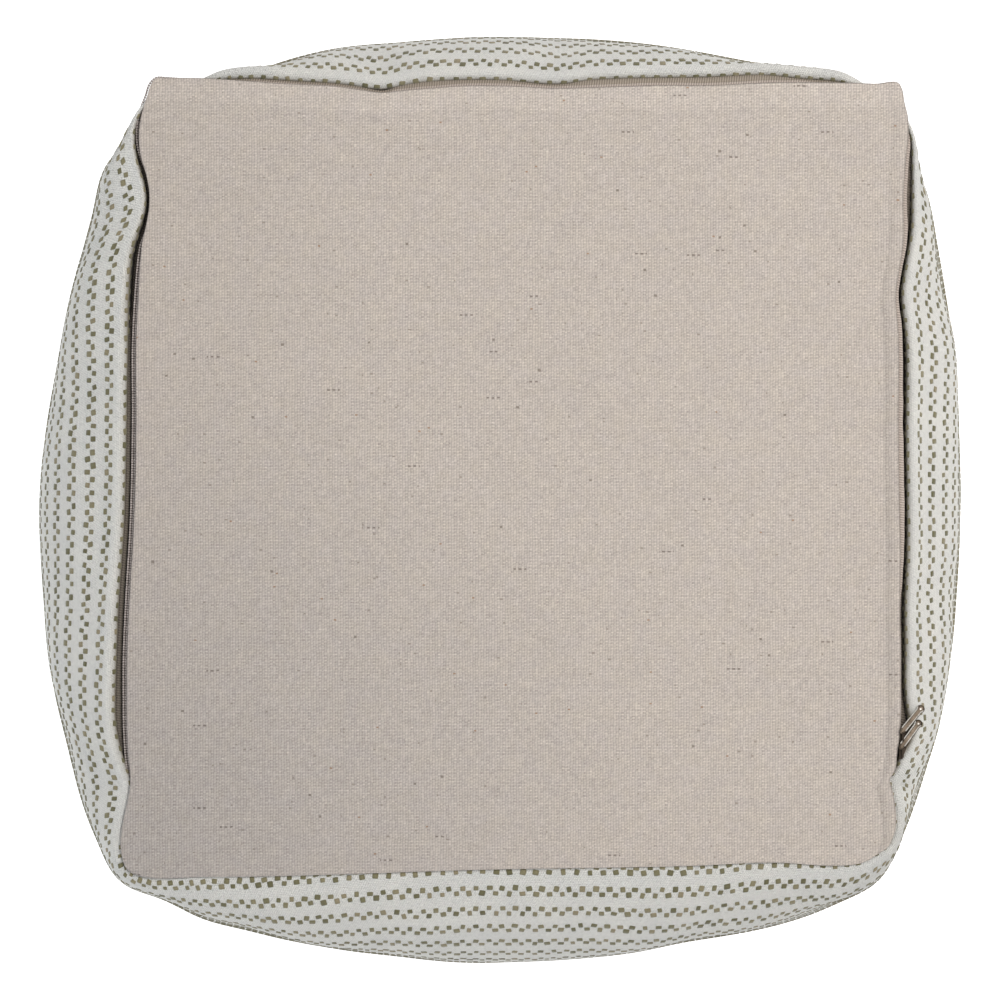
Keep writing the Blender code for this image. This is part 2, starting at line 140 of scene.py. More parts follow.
# Troughs in the wall that run down from the edge: direction, depth in millimetres, width in
# degrees, length in millimetres, and how many degrees they lean over that length
TROUGHS = (
    (28.0, 3.5, 2.6, 60, 2.0), (107.2, 4.5, 1.3, 18, 0.5), (82.0, 2.4, 1.3, 22, -0.5),
    (72.5, 2.0, 1.2, 20, 0.5), (58.0, 1.6, 1.6, 24, 0.0), (141.5, 1.5, 2.4, 60, 3.0),
    (163.0, 1.5, 2.6, 70, 2.0), (196.0, 1.5, 2.4, 60, -2.0), (213.0, 2.6, 1.6, 45, 0.0),
    (232.0, 2.4, 2.2, 50, 2.0), (250.0, 1.4, 2.2, 70, 2.0), (285.0, 1.4, 2.4, 60, -2.0),
    (303.0, 2.6, 1.6, 50, -2.0), (309.5, 3.0, 1.5, 45, 2.0), (325.0, 3.0, 1.8, 50, -3.0),
    (345.0, 1.6, 2.4, 70, 2.0),
)

# Seat, on the floor
SEAT_SEAM = 0.028
SEAT_HALF = 0.236
SEAT_CORNER = 0.035
SEAT_RINGS = (0.965, 0.93, 0.88, 0.80, 0.60, 0.36, 0.14)
SEAT_FLAT = 0.80
SEAT_CLOTH = 0.52           # width of its cloth

# Mesh of the cover before it is subdivided once
COLUMNS = 240
WALL_ROWS = 64
DENSE = 1200                # places of an outline that others are read from
FINE_PARTS = 16
BED_RINGS = (0.16, 0.42, 0.68, 0.88, 0.97)

# Canvas base
CANVAS_CUT = (0.4570, 0.4720)
CANVAS_THICK = 1.1 * MM
CANVAS_CELLS = 150
CANVAS_SHADE = 0.64         # lightness between threads
# painted shade on the canvas, darkest round this corner
PAINTED_SHADE_CORNER = (-0.24, -0.25, 0.0)    # middle of its darker patch
EDGE_LINES = (0.0, 0.35, 0.9, 2.0, 4.0, 7.0)    # millimetres from the edge
TOP_HEM = 15.0 * MM
SIDE_HEM = 11.0 * MM

# Zip
# Top of the cover's tape over the rim: direction, millimetres
TAPE_HEIGHTS = (
    (0, -8.2), (30, -8.2), (45, -2.6), (60, -0.9), (90, -0.9), (120, -1.2), (132, -3.0),
    (140, -8.0), (151, -8.0), (157, -3.6), (205, -3.4), (318, -3.0), (326, -6.5), (338, -7.0),
    (350, -8.0),
)
# How far the canvas's tape shows past the canvas: direction, millimetres
LIP_WIDTHS = (
    (0, 3.1), (20, 2.4), (35, 2.2), (50, 1.2), (60, 1.5), (90, 1.5), (120, 0.8), (135, 0.4),
    (143, -1.0), (200, -1.0), (320, -0.6), (344, 0.1), (353, 2.2),
)
TAPE_THICK = 0.7 * MM
TAPE_STEP = 2.5 * MM
TAPE_COLOUR = (0.310, 0.262, 0.213)
LIP_COLOUR = (0.440, 0.375, 0.330)
COIL_PITCH = 1.5 * MM
COIL_HALF = 1.3 * MM
COIL_HIGH = 1.2 * MM
COIL_LEVEL = RIM - 1.9 * MM
# Middle of the coil, outside the canvas's edge: direction, millimetres
COIL_OFFSETS = (
    (0, -1.4), (20, -1.4), (40, -1.6), (60, -1.6), (90, -1.6), (125, -1.6), (131, 0.5), (135, 0.7),
    (137.5, -1.4), (142, -1.6), (145, 0.3), (149, 1.2), (160, 1.42), (200, 1.42), (213, 1.2),
    (300, -1.2),
)

# Pulls: length from eye to head, half width, radius of the head and of the eye's end
PULL_LONG = 17.9 * MM
PULL_HALF = 2.0 * MM
PULL_HEAD = 2.5 * MM
PULL_EYE = 1.3 * MM
PULLS = (("pull_lower", (240.3, -148.6), (250.8, -134.2), 3.0, "zip_pull_1"),
         ("pull_upper", (240.9, -139.2), (252.4, -125.0), 3.3, "zip_pull_2"))

# Where the cloth lies in the pulls' shade: x, y and how far it spreads, in millimetres
PULL_SHADOWS = ((245.5, -131.0, 3.2), (246.0, -139.5, 3.0), (243.5, -146.5, 2.5))

# Cloth of the cover: small blocks in pairs of staggered rows
PERIOD = 8.05 * MM
PITCH = 15.3 * MM
ROW_GAP = 3.9 * MM
BLOCK_WIDE = 3.8 * MM
BLOCK_TALL = 4.2 * MM
BLOCK_INSET = 0.12          # share of its width that a block's top is drawn in
BLOCK_LIFT = 0.32 * MM
BLOCK_SINK = 0.40 * MM
BAND_DEEP = 0.470           # cut height of the side band
BLOCK_BANDS = (0, 2, 9, 20, 31)    # first pair of rows of each piece with blocks, and the end
SEAT_CHART = 4.0            # where the seat and the bed lie on the cloth's map
BED_CHART = 6.0

# Where the cloth starts at the base's edge, measured down the cloth: direction, millimetres
CLOTH_STARTS = (
    (0, 2.6), (30, 2.8), (50, 3.0), (70, 2.9), (90, 2.7), (105, 1.6), (117, 2.7), (125, 2.7),
    (140, 2.5), (150, 2.1), (165, 2.5), (180, 2.9), (208, 2.8), (216, 3.4), (222, 3.2), (226, -4.6),
    (236, -4.6), (245, -1.6), (263, 1.0), (280, -0.8), (300, -2.6), (308, 0.6), (318, 3.0),
    (328, 3.2), (345, 2.7),
)

# Threads, in metres
WARP = 1.62 * MM            # from one upright canvas thread to the next
WEFT = 0.95 * MM            # from one level canvas thread to the next
COVER_THREAD = 1.5 * MM
TAPE_RIB = 1.5 * MM

# Dark slubs of the canvas: how long and high, the share of places that have one, colour
SLUBS = ((8.0 * MM, WEFT, 0.0010, (0.15, 0.12, 0.10)), (WARP, 1.4 * MM, 0.0003, (0.18, 0.15, 0.12)),
         (1.9 * MM, WEFT, 0.0040, (0.27, 0.23, 0.19)), (1.4 * MM, WEFT, 0.0003, (0.30, 0.17, 0.09)))

# Sections of the cover's edge: millimetres out from the folded edge and up from the rim
EDGE_ROWS = (
    # zip_out, zip_up, tucked_out, tucked_up, sewn_out, sewn_up
    (0.00, -3.9, 0.0, -3.9, -5.0, -0.60),
    (0.20, -2.3, 0.0, -2.6, -2.6, -0.65),
    (0.75, -0.9, 0.1, -1.7, -1.0, -0.80),
    (1.60, 0.50, 0.6, -1.2, -0.1, -0.95),
    (2.80, 1.65, 1.6, -1.0, 0.8, -0.55),
    (4.20, 2.35, 3.0, -1.2, 2.0, -0.45),
    (5.70, 2.40, 4.6, -1.9, 3.6, -0.90),
    (7.20, 1.50, 6.2, -3.2, 5.4, -1.90),
)
# Painted shade of each edge row in the zip's groove, darkest at the groove's floor
EDGE_SHADE_SHARES = (1.0, 0.95, 0.70, 0.42, 0.20, 0.06, 0.0, 0.0)    # of each row where it is zipped
# How much painted shade the groove beside the zip gets: direction, share
GROOVE_SHADE_SHARES = (
    (0, 0.70), (36, 0.70), (55, 0.45), (90, 0.40), (130, 0.40), (142, 0.70), (152, 0.60),
    (160, 0.30), (200, 0.30), (330, 0.80), (345, 0.92),
)
# Depth of that groove: direction, millimetres up
GROOVE_DEPTHS = (
    (0, -9.0), (30, -9.0), (45, -4.5), (90, -3.9), (130, -4.5), (140, -9.0), (151, -9.0),
    (158, -5.2), (205, -5.2), (318, -3.9), (326, -7.5), (338, -8.0), (350, -9.0),
)


# ---------------------------------------------------------------- curves and numbers

def smooth_step(low, high, value):
    share = min(max((value - low) / (high - low), 0.0), 1.0)
    return share * share * (3.0 - 2.0 * share)


def blend(first, second, share):
    return first + (second - first) * share


def turn_between(direction, other):
    return (direction - other + 180.0) % 360.0 - 180.0


def bell(direction, centre, width):
    return exp(-0.5 * (turn_between(direction, centre) / width) ** 2)


def bearing(place):
    return degrees(atan2(place[1], place[0])) % 360.0


def smooth_weights(share):
    """Weights of a smooth curve's start, first slope, end and last slope, part of the way."""
    square, cube = share ** 2, share ** 3
    return (2 * cube - 3 * square + 1, cube - 2 * square + share,
            3 * square - 2 * cube, cube - square)


def round_table(rows, direction):
    """Reads a table of compass directions and values, smoothly and all the way round."""
    direction %= 360.0
    keys = [row[0] for row in rows]
    index = bisect_right(keys, direction) - 1
    count = len(rows)
    spots = [rows[(index + step) % count] for step in (-1, 0, 1, 2)]
    gap = (spots[2][0] - spots[1][0]) % 360.0
    share = ((direction - spots[1][0]) % 360.0) / gap
    before = (spots[1][0] - spots[0][0]) % 360.0
    after = (spots[3][0] - spots[2][0]) % 360.0
    slope_in = (spots[2][1] - spots[0][1]) / (gap + before) * gap
    slope_out = (spots[3][1] - spots[1][1]) / (gap + after) * gap
    begin, leave, end, arrive = smooth_weights(share)
    return begin * spots[1][1] + leave * slope_in + end * spots[2][1] + arrive * slope_out


def lengths_along(places, closed=True):
    """Running length at each place, with the whole length at the end of a closed line."""
    total, runs = 0.0, [0.0]
    ends = places[1:] + places[:1] if closed else places[1:]
    for here, there in zip(places, ends):
        total += (there - here).length
        runs.append(total)
    return runs


def spot_on(runs, length):
    """Number of the stretch that a length falls in, and the share of the way along it."""
    index = min(bisect_right(runs, length) - 1, len(runs) - 2)
    return index, (length - runs[index]) / max(runs[index + 1] - runs[index], 1e-9)


def read_along(runs, values, length):
    """The value at a length along a closed line whose values stand at its places."""
    index, share = spot_on(runs, length % runs[-1])
    here, there = values[index], values[(index + 1) % len(values)]
    return here + (there - here) * share


def smooth_line(places, count):
    """Evenly spaced places on a smooth closed line through the given ones.

    A place's first two numbers are its x and y. Anything after them is carried along.
    """
    steps = [hypot(*(there - here)[:2]) for here, there in zip(places, places[1:] + places[:1])]
    slopes = []
    for index, place in enumerate(places):
        before, after = steps[index - 1], steps[index]
        ahead = (places[(index + 1) % len(places)] - place) / after
        behind = (place - places[index - 1]) / before
        slopes.append((behind * after + ahead * before) / (before + after))
    fine = []
    for index, place in enumerate(places):
        other = (index + 1) % len(places)
        for part in range(FINE_PARTS):
            begin, leave, end, arrive = smooth_weights(part / FINE_PARTS)
            fine.append(place * begin + places[other] * end + slopes[index] * steps[index] * leave
                        + slopes[other] * steps[index] * arrive)
    runs = lengths_along([Vector(spot[:2]) for spot in fine])
    return [read_along(runs, fine, runs[-1] * step / count) for step in range(count)]


def relaxed(values, passes):
    """Each value moved towards its two neighbours, round a closed line."""
    for _ in range(passes):
        values = [(values[index - 1] + values[index] * 2 + values[(index + 1) % len(values)]) / 4
                  for index in range(len(values))]
    return values


def normals_of(places):
    """Outward normals of a closed line that runs anticlockwise."""
    found = []
    for index, _ in enumerate(places):
        way = places[(index + 2) % len(places)] - places[index - 2]
        found.append(Vector((way.y, -way.x)).normalized())
    return found


def nearest(places, x, y):
    spot = Vector((x * MM, y * MM))
    return min(range(len(places)), key=lambda index: (places[index] - spot).length)


class Outline:
    """Edge of the canvas, folded edge of the cover and the widest outline, matched up."""

    def __init__(self):
        line = smooth_line([Vector(row) * MM for row in BASE_EDGE], DENSE)
        self.canvas = [place.xy for place in line]
        self.gap = [place.z for place in line]
        self.out = [normal.normalized() for normal in relaxed(normals_of(self.canvas), 3)]
        self.fold = relaxed([place + normal * gap for place, normal, gap
                             in zip(self.canvas, self.out, self.gap)], 4)
        self.fold_runs = lengths_along(self.fold)
        self.corners = [nearest(self.canvas, *corner) for corner in CORNERS]
        self.zip_ends = [nearest(self.canvas, *end) for end in ZIP_ENDS]

        self.waist = []
        for index in range(DENSE):
            direction = 360.0 * index / DENSE
            reach = round_table(WAIST, direction) * MM
            self.waist.append(Vector((cos(radians(direction)), sin(radians(direction)))) * reach)
        self.waist_runs = lengths_along(self.waist)
        self.round = self.waist_runs[-1]

    def waist_corner_lengths(self):
        return [self.waist_runs[round(direction / 360.0 * DENSE)] for direction in WAIST_CORNERS]

    def matched(self, share, runs, corner_lengths, shifts=(0, 0, 0, 0)):
        """Length on another outline that lies above a share of the way round the waist.

        Threads run straight down the middle of each side and draw together at the corners.
        """
        marks = self.waist_corner_lengths()
        length = marks[3] + share * self.round
        for side in range(4):
            low = marks[side - 1]
            span = (marks[side] - low) % self.round
            into = (length - low) % self.round
            if into <= span or side == 3:
                break
        first = corner_lengths[side - 1]
        other = (corner_lengths[side] - first) % runs[-1]
        middle = span / 2 + shifts[side] * MM
        half, other_half = (middle, other / 2) if into < middle else (span - middle, other / 2)
        away = min((into - middle) / half, 1.0)
        ease = min(max(half / other_half, 0.8), 1.24)
        away = ease * away + (1.0 - ease) * away ** 5
        return first + other_half * (1.0 + away)


outline = Outline()


def zip_share(index):
    """1 where the zip runs and 0 where the canvas is sewn straight on, at a dense place."""
    first, last = outline.zip_ends
    inside = min((index - first) % DENSE, (last - index) % DENSE)
    beyond = min((first - index) % DENSE, (index - last) % DENSE)
    if (index - first) % DENSE <= (last - first) % DENSE:
        return smooth_step(-ZIP_FADE, ZIP_FADE, inside)
    return smooth_step(ZIP_FADE, -ZIP_FADE, beyond)


# ---------------------------------------------------------------- shapes

def finished_mesh(shape, name):
    """Turns a shape that is done into a mesh."""
    mesh = bpy.data.meshes.new(name)
    shape.to_mesh(mesh)
    shape.free()
    return mesh


def bridge(shape, rings):
    """Joins each closed ring of points to the next one, and gives back the new faces."""
    made = []
    for ring, after in zip(rings, rings[1:]):
        for index, _ in enumerate(ring):
            other = (index + 1) % len(ring)
            made.append(shape.faces.new((ring[index], ring[other], after[other], after[index])))
    return made


def close_ends(shape, rings):
    """Closes a row of rings at its first one and at its last."""
    return shape.faces.new(reversed(rings[0])), shape.faces.new(rings[-1])


def link(name, data):
    """An object in the scene, at the origin."""
    made = bpy.data.objects.new(name, data)
    bpy.context.scene.collection.objects.link(made)
    return made


def baked(piece):
    """Turns a piece's modifiers into its own plain mesh."""
    depsgraph = bpy.context.evaluated_depsgraph_get()
    mesh = bpy.data.meshes.new_from_object(piece.evaluated_get(depsgraph),
                                           preserve_all_data_layers=True, depsgraph=depsgraph)
    piece.modifiers.clear()
    old, piece.data = piece.data, mesh
    mesh.name = piece.name
    bpy.data.meshes.remove(old)
    return piece


# ---------------------------------------------------------------- the filled cover

def cover_columns():
    """For each column of the cover's mesh: its places on the outlines and its weights."""
    fold_corners = [outline.fold_runs[index] for index in outline.corners]
    seat = seat_outline()
    seat_runs = lengths_along(seat)
    seat_corners = [seat_runs[nearest(seat, *corner)] for corner in SEAT_CORNERS]
    start = outline.waist_corner_lengths()[3]
    columns = []
    for index in range(COLUMNS):
        share = index / COLUMNS
        length = outline.matched(share, outline.fold_runs, fold_corners, MIDDLE_SHIFTS)
        where, _ = spot_on(outline.fold_runs, length % outline.fold_runs[-1])
        fold = read_along(outline.fold_runs, outline.fold, length)
        out = read_along(outline.fold_runs, outline.out, length).normalized()
        canvas = read_along(outline.fold_runs, outline.canvas, length)
        gap = read_along(outline.fold_runs, outline.gap, length)
        waist = read_along(outline.waist_runs, outline.waist, start + share * outline.round)
        foot = read_along(seat_runs, seat, outline.matched(share, seat_runs, seat_corners))
        columns.append({
            "share": share, "fold": fold, "out": out, "canvas": canvas, "gap": gap,
            "waist": waist, "foot": foot, "zip": zip_share(where),
            "tucked": smooth_step(0.5 * MM, -3.5 * MM, gap),
            "direction": bearing(fold),
        })
    return columns


def seat_outline():
    """A square with round corners, anticlockwise."""
    straight = SEAT_HALF - SEAT_CORNER
    places = []
    for side in range(4):
        turn = Matrix.Rotation(pi / 2 * side, 2)
        for step in range(60):
            places.append(turn @ Vector((SEAT_HALF, blend(-straight, straight, step / 60))))
        for step in range(20):
            angle = pi / 2 * step / 20
            places.append(turn @ Vector((straight + SEAT_CORNER * cos(angle),
                                         straight + SEAT_CORNER * sin(angle))))
    return places


def edge_section(column):
    """Points across the cover's edge: (place, height), from under the canvas outwards."""
    zipped, tucked = column["zip"], column["tucked"]
    base = column["canvas"] + column["out"] * min(column["gap"], 0.0)
    deep = round_table(GROOVE_DEPTHS, column["direction"])
    inner = [(-3.0, -0.2, -6.5, -0.5), (-1.0, -0.4, -6.0, -0.55), (-0.7, deep + 0.1, -5.5, -0.6)]
    wide = round_table(ROLL_WIDTHS, column["direction"])
    points = []
    for zip_out, zip_up, sewn_out, sewn_up in inner:
        out = blend(sewn_out, zip_out, zipped) * MM
        points.append((base + column["out"] * out, RIM + blend(sewn_up, zip_up, zipped) * MM))
    for zip_out, zip_up, tucked_out, tucked_up, sewn_out, sewn_up in EDGE_ROWS:
        out = blend(blend(zip_out, tucked_out, tucked) * wide, sewn_out, 1.0 - zipped)
        zip_up *= deep / EDGE_ROWS[0][1] if zip_up < 0.0 else 1.0
        up = blend(blend(zip_up, tucked_up, tucked), sewn_up, 1.0 - zipped)
        points.append((column["fold"] + column["out"] * out * MM, RIM + up * MM))
    return points


def quarter(share):
    """Share of the way out and of the way down along the lower wall's quarter curve."""
    angle = pi / 2 * share
    return abs(sin(angle)) ** WALL_SWELL, 1.0 - abs(cos(angle)) ** WALL_SWELL


def shoulder(begin, top, waist, radius):
    """Round turn from the edge down into the wall, seen to end where the waist is seen."""
    line = []
    eye = CANVAS_TOP + CAMERA_RISE
    end = waist
    for _ in range(3):
        reach = (end - begin).dot(waist.normalized())
        bulge = min(max(reach / radius, 0.06), 0.95)
        first = asin(1.0 - bulge)
        deep = radius * cos(first)
        end = waist * (eye - top + deep) / (eye - WAIST_HEIGHT)
    for step in range(41):
        angle = blend(first, pi / 2, step / 40)
        out = (sin(angle) - sin(first)) / bulge
        down = (cos(first) - cos(angle)) / cos(first)
        line.append((begin.lerp(end, out), top - deep * down))
    return line


def wall_line(column, start, height):
    """Fine points down the wall, from the edge's last point to the seat's seam."""
    drop = round_table(DROPS, column["direction"]) * MM
    top = height - drop
    line = [(start, height)]
    if drop > 2 * MM:
        line.append((start + column["out"] * 0.8 * MM, height - drop * 0.5))
    radius = round_table(SHOULDERS, column["direction"]) * MM
    line += shoulder(start + column["out"] * 0.6 * MM, top, column["waist"], radius)
    line.append((column["waist"], WAIST_HEIGHT))
    swell = column["waist"].normalized() * 1.2 * MM
    line.append((column["waist"] + swell, (WAIST_HEIGHT + LOWER_WAIST_HEIGHT) / 2))
    for step in range(40, -1, -1):
        out, down = quarter(step / 40)
        line.append((column["foot"].lerp(column["waist"], out),
                     SEAT_SEAM + (LOWER_WAIST_HEIGHT - SEAT_SEAM) * down))
    return [Vector((*place, high)) for place, high in line]


def even_line(line, count):
    """The same line with evenly spaced points, rounded a little where it turns."""
    runs = lengths_along(line, closed=False)
    points = []
    for step in range(count + 1):
        index, share = spot_on(runs, runs[-1] * step / count)
        points.append(line[index].lerp(line[index + 1], share))
    for _ in range(2):
        middle = [(a + b * 2 + c) / 4 for a, b, c in zip(points, points[1:], points[2:])]
        points = [points[0], *middle, points[-1]]
    return points, runs[-1]


def wall_depth(column, down):
    """How far the cloth is drawn in at a length down the wall."""
    direction = column["direction"]
    depth = 0.0
    for at, deep, width, long, lean in TROUGHS:
        reach = down / (long * MM)
        bump = reach * exp(1.0 - reach) if reach < 1.0 else exp(0.9 * (1.0 - reach))
        depth += deep * MM * bell(direction, at + lean * reach, width * (1 + 0.6 * reach)) * bump
    around = column["share"] * outline.round
    ripple = noise.noise(Vector((around / 0.020, down / 0.080, 3.1)))
    swell = noise.noise(Vector((around / 0.075, down / 0.110, 8.7)))
    soft = noise.noise(Vector((around / 0.034, down / 0.050, 5.3)))
    gathered = 1.2 - 0.7 * column["zip"]
    near = exp(-down / 0.035) * (1.0 - exp(-down / 0.005))
    depth += ripple * gathered * MM * near
    depth += swell * 1.5 * MM * smooth_step(0.0, 0.05, down)
    depth += soft * 0.5 * MM * smooth_step(0.0, 0.03, down)
    return depth


def bed_rings(sections):
    """Rings of the bed under the canvas, from its middle out to the edge's first points."""
    middle = Vector(CROWN_MIDDLE)
    rings = []
    for scale in BED_RINGS:
        ring = []
        for place, height in (section[0] for section in sections):
            spot = middle.lerp(place, scale)
            ring.append(Vector((*spot, crown(spot) + blend(RIM - 0.4 * MM, height, scale))))
        rings.append(ring)
    return rings


def wall_and_cloth(column, section):
    """Points down a column's wall, and how far down the cloth its edge and its wall lie."""
    start = round_table(CLOTH_STARTS, column["direction"]) * MM
    edge = [Vector((*place, height)) for place, height in section[3:]]
    runs = lengths_along(edge, closed=False)
    downs = [start + run - runs[3] for run in runs]
    edge_down = downs[-1]
    wall, length = even_line(wall_line(column, *section[-1]), WALL_ROWS)
    spare = BAND_DEEP - edge_down - length
    for step, spot in enumerate(wall):
        share = step / WALL_ROWS
        run = length * step / WALL_ROWS
        if step:
            downs.append(edge_down + run + spare * smooth_step(0.0, 1.0, share))
        depth = wall_depth(column, run) * smooth_step(0.0, 0.06, share)
        depth *= smooth_step(1.0, 0.94, share)
        inward = -column["out"] if step < 6 else -column["waist"].normalized()
        wall[step] = spot + Vector((*inward, 0.0)) * depth
    return wall, downs


def groove_and_pull_shade(place, column, share):
    """Painted shade of the cloth at a point beside the zip and in the shade of its pulls."""
    crease = round_table(GROOVE_SHADE_SHARES, column["direction"])
    crease = share * column["zip"] * blend(crease, 1.0, max(share * 2 - 1.0, 0.0))
    for x, y, spread in PULL_SHADOWS:
        away = hypot(place.x - x * MM, place.y - y * MM)
        crease = max(crease, 0.9 * exp(-(away / (spread * MM)) ** 2))
    return crease


def cover_mesh():
    """The cover with a map of its cloth: rings from the middle of the base outwards."""
    columns = cover_columns()
    sections = [edge_section(column) for column in columns]
    rings = bed_rings(sections)
    for row in range(len(sections[0])):
        rings.append([Vector((*section[row][0], section[row][1])) for section in sections])
    edge_first = len(rings) - len(EDGE_ROWS)
    walls, downs = zip(*map(wall_and_cloth, columns, sections))
    for step in range(1, WALL_ROWS + 1):
        rings.append([wall[step] for wall in walls])
    seam = len(rings) - 1
    for scale in SEAT_RINGS:
        inward = min((1.0 - scale) / (1.0 - SEAT_FLAT), 1.0)
        rings.append([Vector((spot.x * scale, spot.y * scale, SEAT_SEAM * (1.0 - inward) ** 2))
                      for spot in rings[seam]])

    shape = bmesh.new()
    cloth = shape.loops.layers.uv.new("cloth")
    # painted shade, stored on each point for the cloth's material
    dark = shape.verts.layers.float.new("crease")
    rows = [[shape.verts.new(spot) for spot in ring] for ring in rings]
    for share, row in zip([1.0] * edge_first + list(EDGE_SHADE_SHARES), rows):
        for vert, column in zip(row, columns):
            vert[dark] = groove_and_pull_shade(vert.co, column, share)
    wide = outline.round / COLUMNS
    for index in range(COLUMNS):
        after = (index + 1) % COLUMNS
        for number, (upper, lower) in enumerate(zip(rows, rows[1:])):
            face = shape.faces.new((upper[index], lower[index], lower[after], upper[after]))
            face.smooth = True
            for loop, (side, below) in zip(face.loops, ((0, 0), (0, 1), (1, 1), (1, 0))):
                if edge_first <= number < seam:
                    down = downs[(index + side) % COLUMNS][number + below - edge_first]
                    loop[cloth].uv = ((index + side) * wide, down)
                else:
                    loop[cloth].uv = flat_chart(loop.vert.co)
    return finished_mesh(shape, "striped_cover")


def flat_chart(place):
    """Place on the cloth's map of a point on the seat, or on the bed under the canvas."""
    return place.x + (SEAT_CHART if place.z < 0.2 else BED_CHART), place.y


def close_poles(mesh):
    """Closes the two open rings, at the middle of the seat and of the bed, with fans."""
    shape = bmesh.new()
    shape.from_mesh(mesh)
    chart = shape.loops.layers.uv["cloth"]
    edges = [edge for edge in shape.edges if edge.is_boundary]
    for low, high in ((-1.0, 0.2), (0.2, 1.0)):
        ring = [edge for edge in edges if low < edge.verts[0].co.z < high]
        middle = sum((edge.verts[0].co for edge in ring), Vector()) / len(ring)
        hub = shape.verts.new(middle)
        for edge in ring:
            loop = edge.link_loops[0]
            face = shape.faces.new((loop.link_loop_next.vert, loop.vert, hub))
            face.smooth = True
            for corner in face.loops:
                corner[chart].uv = flat_chart(corner.vert.co)
    shape.to_mesh(mesh)
    shape.free()


def crown(place):
    """Rise of the base's middle over its edge."""
    across = abs(place[0] - CROWN_MIDDLE[0]) / CROWN_HALF
    up = abs(place[1] - CROWN_MIDDLE[1]) / CROWN_HALF
    from_middle = (across ** 4 + up ** 4) ** 0.25
    return CROWN_RISE * max(0.0, 1.0 - from_middle ** 2) ** 2


def striped_cover():
    cover = link("striped_cover", cover_mesh())
    rounder = cover.modifiers.new("Rounder", "SUBSURF")
    rounder.levels = rounder.render_levels = 1
    baked(cover)
    close_poles(cover.data)
    return cover


# ---------------------------------------------------------------- the canvas base

def shares_across(cells, size):
    """Shares from 0 to 1 for a grid's lines, close together at both edges."""
    near = [distance * MM / size for distance in EDGE_LINES]
    inner = cells - 2 * len(near) + 1
    first = near[-1]
    middle = [blend(first, 1.0 - first, step / inner) for step in range(1, inner)]
    return [*near, *middle, *(1.0 - share for share in reversed(near))]


def canvas_side(first, last):
    """The canvas's edge from one corner to another, anticlockwise, as points at its top."""
    low, high = outline.corners[first], outline.corners[last]
    count = (high - low) % DENSE
    return [outline.canvas[(low + step) % DENSE] for step in range(count + 1)]


def along(line, share):
    """The point at a share of the way along a line of evenly spaced points."""
    spot = min(max(share, 0.0), 1.0) * (len(line) - 1)
    index = min(int(spot), len(line) - 2)
    return line[index].lerp(line[index + 1], spot - index)


def canvas_place(across, up):
    """Place on the canvas at shares of its width and height, between its four edges."""
    bottom, right, top, left = CANVAS_SIDES
    low, high = along(bottom, across), along(top, 1.0 - across)
    before, after = along(left, 1.0 - up), along(right, up)
    blended = low.lerp(high, up) + before.lerp(after, across)
    ends = bottom[0].lerp(bottom[-1], across).lerp(top[-1].lerp(top[0], across), up)
    return blended - ends


CANVAS_SIDES = [canvas_side(3, 0), canvas_side(0, 1), canvas_side(1, 2), canvas_side(2, 3)]


def canvas_rise(across, up, place):
    """Height of the canvas's top over a flat sheet: hems, puckers and slow swells."""
    width, height = CANVAS_CUT
    from_left, from_right = across * width, (1.0 - across) * width
    from_bottom, from_top = up * height, (1.0 - up) * height
    edge = min(from_left, from_right, from_bottom, from_top)
    rise = 0.0
    hem = smooth_step(TOP_HEM + 1.2 * MM, TOP_HEM - 0.6 * MM, from_top + 0.8 * MM * sin(across * 23))
    hem = max(hem, 0.8 * smooth_step(SIDE_HEM + 1.0 * MM, SIDE_HEM - 0.6 * MM, from_right))
    rise += 0.55 * MM * hem
    for line, away in ((TOP_HEM - 2.2 * MM, from_top), (SIDE_HEM - 2.0 * MM, from_right)):
        rise -= 0.22 * MM * exp(-((away - line) / (0.9 * MM)) ** 2)
    run = place.x + place.y
    pucker = noise.noise(Vector((run / 0.011, 2.0, 0.0))) * exp(-edge / 0.020)
    rise += 0.45 * MM * pucker * smooth_step(0.0, 4 * MM, edge)
    rise += 0.5 * MM * abs(noise.noise(Vector((place.x / 0.12, place.y / 0.16, 4.0))))
    rise -= 0.5 * MM * exp(-edge / (0.45 * MM))
    return rise


def canvas_mesh():
    """The canvas as a closed sheet: its top, its underside and a rolled edge between them."""
    width, height = CANVAS_CUT
    columns = shares_across(CANVAS_CELLS, width)
    rows = shares_across(CANVAS_CELLS, height)
    shape = bmesh.new()
    chart = shape.loops.layers.uv.new("threads")
    cut = shape.loops.layers.uv.new("cut")
    upper, lower, places = [], [], {}
    for up in rows:
        over, under = [], []
        for across in columns:
            place = canvas_place(across, up)
            level = CANVAS_TOP + crown(place)
            top = shape.verts.new((*place, level + canvas_rise(across, up, place)))
            edge = min(across * width, (1 - across) * width, up * height, (1 - up) * height)
            below = level - CANVAS_THICK + 0.25 * MM * exp(-edge / (0.45 * MM))
            bottom = shape.verts.new((*place, below))
            places[top] = places[bottom] = (across * width, up * height)
            over.append(top)
            under.append(bottom)
        upper.append(over)
        lower.append(under)
    for grid, flip in ((upper, False), (lower, True)):
        for row, after in zip(grid, grid[1:]):
            for index in range(len(row) - 1):
                corners = [row[index], row[index + 1], after[index + 1], after[index]]
                shape.faces.new(reversed(corners) if flip else corners)
    rim = grid_rim(len(rows), len(columns))
    for (row, column), (next_row, next_column) in zip(rim, rim[1:] + rim[:1]):
        shape.faces.new((lower[row][column], lower[next_row][next_column],
                         upper[next_row][next_column], upper[row][column]))
    for face in shape.faces:
        face.smooth = True
        for loop in face.loops:
            loop[chart].uv = loop.vert.co.xy
            loop[cut].uv = places[loop.vert]
    return finished_mesh(shape, "canvas_base")


